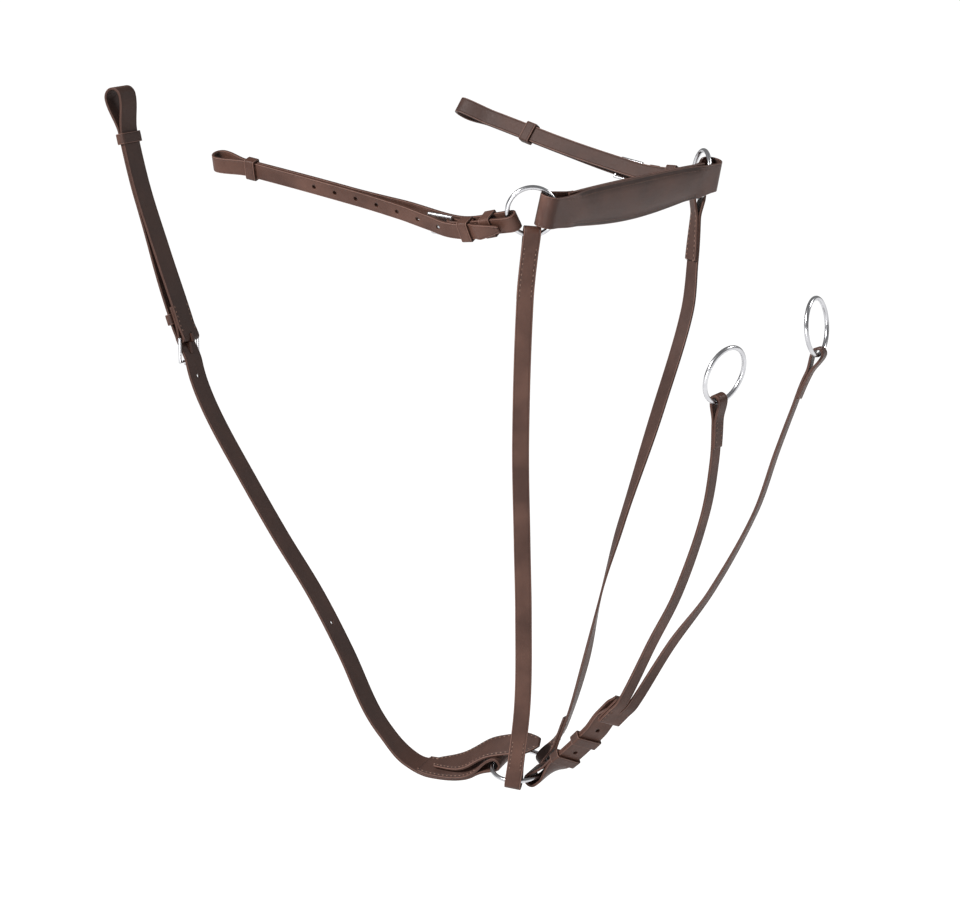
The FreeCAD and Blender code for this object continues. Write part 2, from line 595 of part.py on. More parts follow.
def ring_strap():
    """The strap from under the fork, round the chest ring and back to its billet, with its stud."""
    width = MARTINGALE_WIDTH
    shift, middle, fold = CHEST_RING.seat(CHEST_MARTINGALE_ANGLE, MARTINGALE, 0.0, width)
    start = -shift
    long_end = MARTINGALE.length
    main = eased((start, middle + fold), (FOLD_REACH + 4, LEVEL), (FORK_END_AT - 22, LEVEL),
                 (FORK_END_AT - 2, SEWN_UNDER), (BILLET_TIP_AT + 1, SEWN_UNDER), (long_end, 1.0))
    billet = eased((start, middle - fold), (FOLD_REACH + 4, -LEVEL), (FORK_END_AT - 22, -LEVEL),
                   (FORK_END_AT - 2, BILLET_UNDER))
    stations = layer(MARTINGALE, long_end, start, main, width, 5.0)
    stations += turn(MARTINGALE, start, middle, fold, -1, 1, width)
    stations += layer(MARTINGALE, start, BILLET_TIP_AT, billet,
                      tip_width(width, BILLET_TIP_AT, BILLET_TAPER, 0.5), 5.0)
    strap = punched(ribbon(stations), MARTINGALE, MARTINGALE_HOLES + (STUD_AT,), billet)
    save("martingale_ring_strap", strap)
    place, _, _, face = MARTINGALE.at(STUD_AT)
    foot = place + face * (SEWN_UNDER - LEATHER / 2 - 0.1)
    neck = place + face * (BILLET_UNDER - LEATHER / 2 - 0.2)
    stud = Part.makeCylinder(STUD_RADIUS, (foot - neck).Length + STUD_HEAD,
                             neck - face * STUD_HEAD, face)
    head = Part.makeCylinder(STUD_HEAD_RADIUS, STUD_HEAD, neck - face * STUD_HEAD, face)
    save("martingale_stud", stud.fuse(head))
    for name, s in MARTINGALE_KEEPERS.items():
        save(f"martingale_keeper_{name}", keeper(MARTINGALE, s, [main, billet], width))


def branch(points, widths, side, ring):
    """One branch of the fork with its sewn fold round a rein ring."""
    place, tangent, across, face = MARTINGALE.at(SLIT_AT)
    start = place - face * FORK_OUT + across * (side * BRANCH_OUT)
    ring_place, ring_way = ring.wire_at(REIN_ANGLE)
    spine = Spine([start - tangent * 4, start + tangent * 12] + points + [ring_place],
                  [across, across] + widths + [ring_way])
    far = spine.length
    shift, middle, fold = ring.seat(REIN_ANGLE, spine, far, BRANCH_WIDTH)
    end = far + shift
    run = eased((far - REIN_LAP - 14, 0.0), (far - FOLD_REACH, LEVEL), (end, middle + fold))
    lap = eased((far - FOLD_REACH, -LEVEL), (end, middle - fold))
    stations = layer(spine, 0.0, end, run, BRANCH_WIDTH, 7.0)
    stations += turn(spine, end, middle, fold, 1, 1, BRANCH_WIDTH)
    stations += layer(spine, end, far - REIN_LAP, lap, BRANCH_WIDTH, 5.0)
    return ribbon(stations)


def fork_strap():
    """The wide end of the fork, turned under, with its two branches."""
    width = MARTINGALE_WIDTH
    stations = layer(MARTINGALE, FORK_END_AT + FORK_TAIL, FORK_END_AT,
                     -FORK_OUT + 2 * FORK_TURN, width, 6.0)
    stations += turn(MARTINGALE, FORK_END_AT, -FORK_OUT + FORK_TURN, FORK_TURN, -1, 1, width, 6)
    stations += layer(MARTINGALE, FORK_END_AT, SLIT_AT, -FORK_OUT, width, 6.0)
    body = ribbon(stations)
    right = branch([Vector(50, -14, -428), Vector(89, -29, -368), Vector(128, -46, -285),
                    Vector(147, -60, -222)],
                   [Vector(0.28, 0.92, -0.25), Vector(0.2, 0.97, -0.15), Vector(0.13, 0.99, 0),
                    Vector(0.13, 0.99, 0)], -1, RIGHT_REIN_RING)
    left = branch([Vector(54, 15, -434), Vector(88, 31, -380), Vector(125, 48, -302),
                   Vector(143, 58, -240), Vector(163, 67, -180)],
                  [Vector(0.2, 0.95, -0.25), Vector(-0.1, 0.97, -0.2), Vector(-0.17, 0.98, 0),
                   Vector(-0.17, 0.98, 0), Vector(-0.17, 0.98, 0)], 1, LEFT_REIN_RING)
    return body.fuse([right, left])


ring_strap()
save("martingale_fork", fork_strap())
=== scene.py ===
"""A leather hunting breastplate with a running martingale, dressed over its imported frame.

Sizes are in millimetres, +X forward along the horse, +Y to the horse's left, +Z up, and are
turned into metres where a mesh is made. A strap is a path of stations that goes round its
rings, loops and bars; each station carries a rounded leather section.
"""

import json
import logging
import math
from dataclasses import dataclass, field
from enum import Enum
from typing import Any, Callable, Iterable, Optional, Sequence, Union

import bmesh
import bpy
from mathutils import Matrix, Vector, noise

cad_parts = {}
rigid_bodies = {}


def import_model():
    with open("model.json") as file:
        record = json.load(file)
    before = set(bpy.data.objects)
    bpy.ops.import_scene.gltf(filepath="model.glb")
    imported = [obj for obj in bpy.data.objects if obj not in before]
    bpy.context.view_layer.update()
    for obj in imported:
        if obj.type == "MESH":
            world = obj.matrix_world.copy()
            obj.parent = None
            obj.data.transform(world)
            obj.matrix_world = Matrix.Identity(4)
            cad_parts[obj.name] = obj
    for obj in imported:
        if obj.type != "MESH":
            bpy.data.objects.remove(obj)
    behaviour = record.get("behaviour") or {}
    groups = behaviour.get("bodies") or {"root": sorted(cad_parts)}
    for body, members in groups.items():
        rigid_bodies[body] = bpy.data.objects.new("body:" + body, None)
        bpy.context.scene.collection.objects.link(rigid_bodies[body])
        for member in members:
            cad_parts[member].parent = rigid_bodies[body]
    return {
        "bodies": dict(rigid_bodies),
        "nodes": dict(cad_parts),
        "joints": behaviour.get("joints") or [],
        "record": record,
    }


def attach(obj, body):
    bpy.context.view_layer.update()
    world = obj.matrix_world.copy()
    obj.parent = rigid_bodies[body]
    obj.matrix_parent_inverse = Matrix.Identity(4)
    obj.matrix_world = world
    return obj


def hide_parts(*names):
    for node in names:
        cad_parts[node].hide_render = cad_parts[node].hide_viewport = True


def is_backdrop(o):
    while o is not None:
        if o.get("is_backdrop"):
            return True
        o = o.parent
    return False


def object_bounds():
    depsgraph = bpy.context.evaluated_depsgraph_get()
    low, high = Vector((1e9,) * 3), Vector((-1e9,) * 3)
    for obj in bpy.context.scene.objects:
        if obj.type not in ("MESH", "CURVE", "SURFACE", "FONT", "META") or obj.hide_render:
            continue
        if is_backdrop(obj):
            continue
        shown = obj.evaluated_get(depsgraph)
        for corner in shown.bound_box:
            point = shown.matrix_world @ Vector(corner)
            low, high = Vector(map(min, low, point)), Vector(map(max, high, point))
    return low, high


LOG = logging.getLogger("breastplate")
METRES = 0.001
HEART = Vector((-250.0, 0.0, -100.0))    # a place inside the horse; leather faces turned towards it get painted shade

NECK_WIDTH = 16.0
SADDLE_WIDTH = 16.0
GIRTH_WIDTH = 25.0
MARTINGALE_WIDTH = 25.0
SLIT = 1.0
LEATHER = 2.4
PITCH = LEATHER + 0.4
LEVEL = PITCH / 2
WIRE = 4.5
RING_PLAY = 1.5
FOLD_REACH = 20.0
BUCKLE_WIRE = 3.0
BUCKLE_LENGTH = 24.0
BAR_FOLD = BUCKLE_WIRE / 2 + 0.4 + LEATHER / 2
OVER_BAR = BAR_FOLD + PITCH
TONGUE_WIRE = 2.6
HOLE_RADIUS = 2.1
HOLE_PITCH = 24.0
KEEPER_LENGTH = 11.0
KEEPER_LEATHER = 2.0
KEEPER_PLAY = 0.5

Offset = Callable[[float], float]
Length = Union[float, Offset]


class Body(Enum):
    """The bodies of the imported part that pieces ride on."""

    PAD = "pad"
    NECK = "neck_straps"
    GIRTH = "girth"
    MARTINGALE = "martingale"


class Slot(Enum):
    """The material slots of the record."""

    STRAP = "strap_leather"
    PAD = "pad_leather"
    LINING = "lining_leather"
    RING = "ring_metal"


# ---- directions and easing -----------------------------------------------------------------


def square_to(way: Vector, tangent: Vector) -> Vector:
    """The width direction made square to the strap's tangent."""
    return (way - tangent * way.dot(tangent)).normalized()


def mirror(v: Vector) -> Vector:
    """The point or direction on the other side of the horse."""
    return Vector((v.x, -v.y, v.z))


def level_way(degrees: float) -> Vector:
    """A level direction, turned from +X towards +Y."""
    return Vector((math.cos(math.radians(degrees)), math.sin(math.radians(degrees)), 0))


def vectors(*rows: Sequence[float]) -> list[Vector]:
    """Several points or directions from their numbers."""
    return [Vector(row) for row in rows]


def blend(a: Any, b: Any, share: float) -> Any:
    """A value between a and b, with a level start and end."""
    return a + (b - a) * (share * share * (3 - 2 * share))


def eased(*pairs: tuple[float, float]) -> Offset:
    """An offset that eases through (distance, offset) pairs and stays level beyond them."""

    def offset(s: float) -> float:
        """The offset at the distance s."""
        if s <= pairs[0][0]:
            return pairs[0][1]
        for (s_a, v_a), (s_b, v_b) in zip(pairs, pairs[1:]):
            if s <= s_b:
                return blend(v_a, v_b, (s - s_a) / (s_b - s_a))
        return pairs[-1][1]

    return offset


def signed(side: int, offset: Offset) -> Offset:
    """The same offset towards the other face where side is -1."""
    return lambda s: side * offset(s)


def number(value: Length, s: float) -> float:
    """A fixed number, or a length's value at the distance s."""
    return value(s) if callable(value) else value


def within(*spans: tuple[float, float]) -> Offset:
    """1 inside any of the spans of distance, 0 outside them."""
    return lambda s: 1.0 if any(low <= s <= high for low, high in spans) else 0.0


def pointed(full: float, s_tip: float, taper: float, share: float) -> Offset:
    """A strap width that narrows to a blunt rounded point at s_tip, over a taper length."""
    return lambda s: full * (share + (1 - share) * min(1.0, abs(s - s_tip) / taper) ** 0.8)


# ---- the line that a strap follows ---------------------------------------------------------


@dataclass
class Station:
    """One place along a leather layer.

    droop lowers the edges of the section below its middle, for a stuffed cover.
    """

    place: Vector
    across: Vector
    width: float
    sewn: float = 0.0
    droop: float = 0.0


class Spine:
    """A smooth line through given points, each with the strap's width direction there."""

    STEP = 3.0

    def __init__(self, points: Sequence[Vector], widths: Sequence[Vector]) -> None:
        """Draws the line.

        Args:
            points: places that the line goes through.
            widths: the strap's width direction at each of them.
        """
        self.places: list[Vector] = []
        self.widths: list[Vector] = []
        count = len(points)
        for i in range(count - 1):
            p = [points[max(i - 1, 0)], points[i], points[i + 1], points[min(i + 2, count - 1)]]
            span = (p[2] - p[1]).length
            spans = max(4, round(span / self.STEP))
            start = (p[2] - p[0]).normalized() * span
            end = (p[3] - p[1]).normalized() * span
            for k in range(spans + (i == count - 2)):
                t = k / spans
                self.places.append(p[1] * (2 * t**3 - 3 * t**2 + 1) + start * (t**3 - 2 * t**2 + t)
                                   + p[2] * (3 * t**2 - 2 * t**3) + end * (t**3 - t**2))
                self.widths.append(blend(widths[i], widths[i + 1], t))
        self.lengths = [0.0]
        for a, b in zip(self.places, self.places[1:]):
            self.lengths.append(self.lengths[-1] + (b - a).length)
        self.length = self.lengths[-1]

    def at(self, s: float) -> tuple[Vector, Vector, Vector, Vector]:
        """Looks up one distance along the line.

        Args:
            s: distance from the start, which may lie beyond either end.

        Returns:
            The place, and the tangent, width and face directions there.
        """
        s_in = min(max(s, 0.0), self.length)
        low, high = 0, len(self.lengths) - 2
        while low < high:
            middle = (low + high + 1) // 2
            if self.lengths[middle] <= s_in:
                low = middle
            else:
                high = middle - 1
        i, last = low, len(self.places) - 2
        share = (s_in - self.lengths[i]) / (self.lengths[i + 1] - self.lengths[i])
        place = self.places[i].lerp(self.places[i + 1], share)
        here = (self.places[i + 1] - self.places[i]).normalized()
        before = (self.places[i] - self.places[i - 1]).normalized() if i > 0 else here
        after = (self.places[i + 2] - self.places[i + 1]).normalized() if i < last else here
        tangent = (before + here).normalized().lerp((here + after).normalized(), share).normalized()
        width = square_to(self.widths[i].lerp(self.widths[i + 1], share), tangent)
        return place + tangent * (s - s_in), tangent, width, tangent.cross(width)

    def layer(self, s_from: float, s_to: float, offset: Length, width: Length,
              sewn: Optional[Offset] = None, droop: Length = 0.0, step: float = 2.5) -> list[Station]:
        """One leather layer that follows the line at an offset along its face direction.

        Args:
            s_from: where the layer starts.
            s_to: where it ends, which may be before its start.
            offset: distance from the line along the face direction.
            width: the strap's width.
            sewn: 1 where the layer shows its two rows of stitches.
            droop: how far its edges lie below its middle.
            step: distance between stations.

        Returns:
            The layer's stations.
        """
        count = max(1, math.ceil(abs(s_to - s_from) / step))
        stations = []
        for k in range(count + 1):
            s = s_from + (s_to - s_from) * k / count
            place, _, way, face = self.at(s)
            stations.append(Station(place + face * number(offset, s), way, number(width, s),
                                    sewn(s) if sewn else 0.0, number(droop, s)))
        return stations

    def turn(self, s: float, middle: float, radius: float, way: int, side: int, width: float,
             steps: int = 14) -> list[Station]:
        """A half turn in a layer.

        Args:
            s: where the turn's axis crosses the line.
            middle: the axis's offset along the face direction.
            radius: radius of the leather's middle.
            way: +1 to bulge towards the line's end, -1 towards its start.
            side: +1 if the turn starts on the face side.
            width: the strap's width.
            steps: parts of the half turn.

        Returns:
            The stations between the turn's two ends.
        """
        place, tangent, across, face = self.at(s)
        centre = place + face * middle
        stations = []
        for k in range(1, steps):
            angle = math.pi * k / steps
            out = face * (side * math.cos(angle)) + tangent * (way * math.sin(angle))
            stations.append(Station(centre + out * radius, across, width))
        return stations


class Ring:
    """A round wire ring with its own in-plane directions: right across it and up across it."""

    SEAT_STEPS = 30

    def __init__(self, centre: Vector, normal: Vector, outer: float) -> None:
        """Places the ring.

        Args:
            centre: its middle.
            normal: the direction square to its plane.
            outer: its outer diameter.
        """
        self.centre = centre
        self.normal = normal.normalized()
        self.radius = (outer - WIRE) / 2
        self.right = Vector((0, 0, 1)).cross(self.normal).normalized()
        self.up = self.normal.cross(self.right)

    def wire_at(self, degrees: float) -> tuple[Vector, Vector]:
        """The wire's centre line at an angle from the ring's right, and its tangent there."""
        a = math.radians(degrees)
        out = self.right * math.cos(a) + self.up * math.sin(a)
        return self.centre + out * self.radius, self.right * -math.sin(a) + self.up * math.cos(a)

    def seat(self, degrees: float, spine: Spine, s: float, width: float,
             leather: float = LEATHER, play: float = RING_PLAY) -> tuple[float, float, float]:
        """How a fold holds the wire.

        Args:
            degrees: the angle on the ring where the fold is.
            spine: the strap's line.
            s: where the fold is on that line.
            width: the strap's width.
            leather: thickness of the folded layer.
            play: room round the wire.

        Returns:
            The fold's shift past the wire, its middle's offset and its radius.
        """
        place, tangent, across, face = spine.at(s)
        away = tangent if s < spine.length / 2 else -tangent
        past, offsets = [], []
        for k in range(-self.SEAT_STEPS, self.SEAT_STEPS + 1):
            point = self.wire_at(degrees + 60.0 * k / self.SEAT_STEPS)[0] - place
            if abs(point.dot(across)) <= width / 2 + 1:
                past.append(-point.dot(away))
                offsets.append(point.dot(face))
        radius = (max(offsets) - min(offsets)) / 2 + WIRE / 2 + play + leather / 2
        return max(past), (max(offsets) + min(offsets)) / 2, radius


# ---- meshes --------------------------------------------------------------------------------


@dataclass(frozen=True)
class Section:
    """The rounded cross-section of a leather strap."""

    thickness: float = LEATHER
    bevel: float = 0.55
    crease: float = 1.5
    crease_depth: float = 0.07

    def points(self, width: float, droop: float) -> list[tuple[float, float]]:
        """The section's outline.

        Args:
            width: the strap's width there.
            droop: how far the edges lie below the middle.

        Returns:
            (across, height) pairs, anticlockwise from the middle of the +across edge.
        """
        half, rise = width / 2, self.thickness / 2
        bevel = min(self.bevel, half * 0.4, rise)
        arc = [(half - bevel * (1 - math.cos(a)), (rise - bevel) + bevel * math.sin(a))
               for a in (math.pi * k / 8 for k in range(5))]
        crease = min(self.crease, half * 0.6)
        flat = [(half - crease + 0.45, rise), (half - crease, rise - self.crease_depth),
                (half - crease - 0.45, rise), (half * 0.55, rise), (half * 0.25, rise), (0.0, rise)]
        quarter = arc + [p for p in flat if p[0] < half - bevel]
        upper = quarter + [(-a, b) for a, b in reversed(quarter[:-1])]
        loop = upper + [(-a, -b) for a, b in upper]
        return [(a, b - droop * self.sag(a / half)) for a, b in loop]

    @staticmethod
    def sag(share: float) -> float:
        """How much of the droop shows at a share of the half width."""
        outer = min(max((abs(share) - 0.12) / 0.88, 0.0), 1.0)
        return outer ** 2.2


@dataclass(frozen=True)
class Disc:
    """A round cross-section, for a rolled edge."""

    radius: float
    sides: int = 12

    def points(self, width: float, droop: float) -> list[tuple[float, float]]:
        """The outline as (across, height) pairs; width and droop don't change it."""
        return [(self.radius * math.cos(2 * math.pi * k / self.sides),
                 self.radius * math.sin(2 * math.pi * k / self.sides)) for k in range(self.sides)]


@dataclass
class Frame:
    """A station's own directions and how far along the strap it is."""

    station: Station
    tangent: Vector
    across: Vector
    face: Vector
    travelled: float

    def point(self, a: float, b: float) -> Vector:
        """The place at a across and b out from the station, in metres."""
        return (self.station.place + self.across * a + self.face * b) * METRES


def frames(stations: Sequence[Station], closed: bool = False) -> list[Frame]:
    """Works out every station's directions.

    Args:
        stations: the path.
        closed: whether it joins its own start.

    Returns:
        One frame for each station.
    """
    found, count, travelled = [], len(stations), 0.0
    for i, station in enumerate(stations):
        before = stations[i - 1] if i > 0 or closed else None
        after = stations[(i + 1) % count] if i < count - 1 or closed else None
        behind = (station.place - before.place).normalized() if before else None
        ahead = (after.place - station.place).normalized() if after else None
        tangent = ((behind or ahead) + (ahead or behind)).normalized()
        across = square_to(station.across, tangent)
        if i > 0:
            travelled += (station.place - stations[i - 1].place).length
        found.append(Frame(station, tangent, across, tangent.cross(across), travelled))
    return found


@dataclass(frozen=True)
class Seam:
    """A row of waxed stitches along each edge of the sewn stretches of a strap.

    A stitch sits at a station, so stations further apart than the pitch set the spacing.
    """

    inset: float = 2.6
    pitch: float = 3.3
    length: float = 2.5
    radius: float = 0.36
    sides: int = 6
    body_share: float = 0.27
    tip_sunk: float = 0.6
    sunk: float = 0.05

    def stitch(self, mesh: bmesh.types.BMesh, frame: Frame, a: float, b: float) -> None:
        """Adds one stitch, a short spindle half sunk in the leather.

        Args:
            mesh: what it is added to.
            frame: where it is.
            a: its distance across.
            b: its height.
        """
        rings = []
        for share in (-self.body_share, self.body_share):
            ring = []
            for k in range(self.sides):
                turn = 2 * math.pi * k / self.sides
                out = frame.point(a + self.radius * math.cos(turn), b + self.radius * math.sin(turn))
                ring.append(mesh.verts.new(out + frame.tangent * (share * self.length * METRES)))
            rings.append(ring)
        tips = [mesh.verts.new(frame.point(a, b - self.radius * self.tip_sunk)
                               + frame.tangent * (share * self.length * METRES))
                for share in (-0.5, 0.5)]
        for k in range(self.sides):
            m = (k + 1) % self.sides
            mesh.faces.new((rings[0][k], rings[0][m], rings[1][m], rings[1][k])).smooth = True
            mesh.faces.new((tips[0], rings[0][m], rings[0][k])).smooth = True
            mesh.faces.new((tips[1], rings[1][k], rings[1][m])).smooth = True

    def build(self, name: str, paths: Sequence[Sequence[Station]], thickness: float,
              out: int) -> bpy.types.Object:
        """Sews every stretch that is marked as sewn.

        Args:
            name: the piece's name.
            paths: the stations of each strap.
            thickness: the leather's thickness.
            out: +1 if the outer side is the path's face side, or -1.

        Returns:
            All its stitches in one object.
        """
        mesh = bmesh.new()
        for stations in paths:
            due = 0.0
            for frame in frames(stations):
                half, sewn = frame.station.width / 2, frame.station.sewn > 0.5
                if not sewn or frame.travelled < due:
                    continue
                due = frame.travelled + self.pitch
                for side in (1, -1):
                    a = side * (half - self.inset)
                    sag = frame.station.droop * Section.sag(a / half)
                    self.stitch(mesh, frame, a, out * (thickness / 2 - self.sunk) - sag)
        if mesh.calc_volume(signed=True) < 0:
            bmesh.ops.reverse_faces(mesh, faces=mesh.faces)
        return finished(name, mesh)


def leather_run(name: str, paths: Sequence[Sequence[Station]], section: Union[Section, Disc],
                closed: bool = False) -> bpy.types.Object:
    """Lofts rounded sections along paths into closed solids in one object.

    Each corner keeps three maps: run holds its distance along and across the strap in metres,
    marks the half width in metres and how much the stitch rows show, and inner is 1 where the
    leather faces the horse.

    Args:
        name: the piece's name.
        paths: the stations of each solid.
        section: the cross-section.
        closed: whether each path joins its own start, as a band does.

    Returns:
        The new object, in metres.
    """
    mesh = bmesh.new()
    run = mesh.loops.layers.uv.new("run")
    marks = mesh.loops.layers.uv.new("marks")
    shaded_horse_side = mesh.loops.layers.uv.new("shaded_horse_side")
    for stations in paths:
        rings, facts = [], []
        count = len(stations)
        for frame in frames(stations, closed):
            station = frame.station
            outline = section.points(station.width, station.droop)
            rings.append([mesh.verts.new(frame.point(a, b)) for a, b in outline])
            # to_horse picks the half of the section that faces the horse, where the leather finish
            # paints shade
            to_horse = frame.face.dot((HEART - station.place).normalized())
            facts.append([(frame.travelled * METRES, a * METRES, station.width / 2 * METRES,
                           station.sewn, 1.0 if b * to_horse > 0 else 0.0) for a, b in outline])
        ends = list(range(count if closed else count - 1))
        for i in ends:
            j = (i + 1) % count
            for k in range(len(rings[i])):
                m = (k + 1) % len(rings[i])
                corners = [(i, k), (i, m), (j, m), (j, k)]
                new = mesh.faces.new([rings[a][b] for a, b in corners])
                new.smooth = True
                for loop, (a, b) in zip(new.loops, corners):
                    fact = facts[a][b]
                    loop[run].uv = (fact[0], fact[1])
                    loop[marks].uv = (fact[2], fact[3])
                    loop[shaded_horse_side].uv = (fact[4], 0.0)
        if not closed:
            for i in (0, count - 1):
                cap = mesh.faces.new(rings[i])
                for loop, fact in zip(cap.loops, facts[i]):
                    loop[run].uv = (fact[0], fact[2])
                    loop[marks].uv = (fact[2], 0.0)
    if mesh.calc_volume(signed=True) < 0:
        bmesh.ops.reverse_faces(mesh, faces=mesh.faces)
    return finished(name, mesh)


def finished(name: str, mesh: bmesh.types.BMesh) -> bpy.types.Object:
    """Turns a bmesh into a linked object and frees it."""
    data = bpy.data.meshes.new(name)
    mesh.to_mesh(data)
    mesh.free()
    piece = bpy.data.objects.new(name, data)
    bpy.context.scene.collection.objects.link(piece)
    return piece


@dataclass(frozen=True)
class Cutter:
    """A round punch or a box-shaped slot to take out of a strap."""

    place: Vector
    along: Vector
    across: Vector
    depth: Vector
    length: float
    width: float
    height: float
    sides: int

    def add_to(self, mesh: bmesh.types.BMesh) -> None:
        """Adds the cutter's closed solid to a bmesh."""
        rings = []
        spread = 1 / math.cos(math.pi / self.sides) if self.sides == 4 else 1.0
        for end in (-0.5, 0.5):
            ring = []
            for k in range(self.sides):
                a = 2 * math.pi * (k + 0.5) / self.sides
                point = (self.place + self.along * (math.cos(a) * spread * self.length / 2)
                         + self.across * (math.sin(a) * spread * self.width / 2)
                         + self.depth * (end * self.height))
                ring.append(mesh.verts.new(point * METRES))
            rings.append(ring)
        for k in range(self.sides):
            m = (k + 1) % self.sides
            mesh.faces.new((rings[0][k], rings[0][m], rings[1][m], rings[1][k]))
        mesh.faces.new(rings[0][::-1])
        mesh.faces.new(rings[1])


def cut_or_join(piece: bpy.types.Object, tool: bpy.types.Object, operation: str) -> None:
    """Applies a Boolean with a tool object to a piece and removes the tool.

    Args:
        piece: the object that stays.
        tool: the object that cuts it or joins it.
        operation: DIFFERENCE or UNION.
    """
    change = piece.modifiers.new("join", "BOOLEAN")
    change.operation = operation
    change.solver = "EXACT"
    change.object = tool
    graph = bpy.context.evaluated_depsgraph_get()
    made = bpy.data.meshes.new_from_object(piece.evaluated_get(graph), depsgraph=graph)
    piece.modifiers.clear()
    piece.data = made
    bpy.data.objects.remove(tool)


def punch(piece: bpy.types.Object, cutters: Iterable[Cutter]) -> None:
    """Cuts holes and slots through a piece."""
    mesh = bmesh.new()
    for cutter in cutters:
        cutter.add_to(mesh)
    bmesh.ops.recalc_face_normals(mesh, faces=mesh.faces)
    cut_or_join(piece, finished("punches", mesh), "DIFFERENCE")


def hole(spine: Spine, s: float, offset: float) -> Cutter:
    """A round hole through one layer at an offset from the line."""
    place, tangent, across, face = spine.at(s)
    depth = LEATHER + 0.7
    return Cutter(place + face * offset, tangent, across, face, 2 * HOLE_RADIUS,
                  2 * HOLE_RADIUS, depth, 20)


def slot(spine: Spine, s: float, length: float, width: float, low: float, high: float) -> Cutter:
    """A straight-sided slot between two offsets from the line."""
    place, tangent, across, face = spine.at(s)
    return Cutter(place + face * ((low + high) / 2), tangent, across, face, length, width,
                  high - low, 4)


def tongue_slot(spine: Spine, bar: float, way: int) -> Cutter:
    """The slot that lets a tongue through the fold round a heel bar."""
    eye = BUCKLE_WIRE / 2 + 1.6
    reach = BAR_FOLD + LEATHER
    return slot(spine, bar + way * (reach - eye) / 2, reach + eye, TONGUE_WIRE + 1.0,
                -BAR_FOLD - LEATHER, BAR_FOLD + LEATHER)


def keeper_band(name: str, spine: Spine, s: float, offsets: Sequence[Offset],
                width: float) -> bpy.types.Object:
    """A closed leather band round some layers, with rounded corners.

    Args:
        name: the piece's name.
        spine: the strap's line.
        s: where the band is.
        offsets: the layers inside it.
        width: the strap's width.

    Returns:
        The band.
    """
    reach = (s - KEEPER_LENGTH / 2, s, s + KEEPER_LENGTH / 2)
    levels = [offset(place) for offset in offsets for place in reach]
    grow = LEATHER / 2 + KEEPER_PLAY + KEEPER_LEATHER / 2
    low, high = min(levels) - grow, max(levels) + grow
    half = width / 2 + KEEPER_PLAY + KEEPER_LEATHER / 2
    place, tangent, across, face = spine.at(s)
    corner = 1.3
    path = []
    for k, (a, b) in enumerate(((1, 1), (-1, 1), (-1, -1), (1, -1))):
        centre = (a * (half - corner), (high if b > 0 else low) - b * corner)
        for step in range(6):
            angle = math.pi / 2 * (k + step / 5)
            path.append((centre[0] + corner * math.cos(angle), centre[1] + corner * math.sin(angle)))
    stations = [Station(place + across * a + face * b, tangent, KEEPER_LENGTH) for a, b in path]
    band = Section(KEEPER_LEATHER - 0.1, 0.5, 1.3, 0.12)
    return leather_run(name, [stations], band, closed=True)


# ---- finishes ------------------------------------------------------------------------------


class Value:
    """A number socket of a material; arithmetic on it adds Math nodes."""

    def __init__(self, shader: "Shader", socket: bpy.types.NodeSocket) -> None:
        """Keeps the socket and the shader that it belongs to."""
        self.shader = shader
        self.socket = socket

    def _math(self, operation: str, *others: Any) -> "Value":
        """Adds one Math node with this value first and the others after it."""
        inputs = dict(enumerate((self,) + others))
        return self.shader.value("ShaderNodeMath", {"operation": operation}, inputs)

    def _swapped(self, operation: str, first: float) -> "Value":
        """Adds one Math node with a plain number first and this value second."""
        return self.shader.value("ShaderNodeMath", {"operation": operation}, {0: first, 1: self})

    def __add__(self, other: Any) -> "Value":
        """The sum."""
        return self._math("ADD", other)

    __radd__ = __add__

    def __sub__(self, other: Any) -> "Value":
        """The difference."""
        return self._math("SUBTRACT", other)

    def __rsub__(self, other: float) -> "Value":
        """A number less this value."""
        return self._swapped("SUBTRACT", other)

    def __mul__(self, other: Any) -> "Value":
        """The product."""
        return self._math("MULTIPLY", other)

    __rmul__ = __mul__

    def __truediv__(self, other: Any) -> "Value":
        """The quotient."""
        return self._math("DIVIDE", other)

    def __abs__(self) -> "Value":
        """The size without its sign."""
        return self._math("ABSOLUTE")

    def held(self) -> "Value":
        """The value kept between 0 and 1."""
        return self.shader.value("ShaderNodeClamp", {}, {0: self})

    def ridge(self, middle: float, reach: float) -> "Value":
        """1 at the middle value, falling to 0 over the reach each side."""
        return (1 - abs(self - middle) / reach).held()


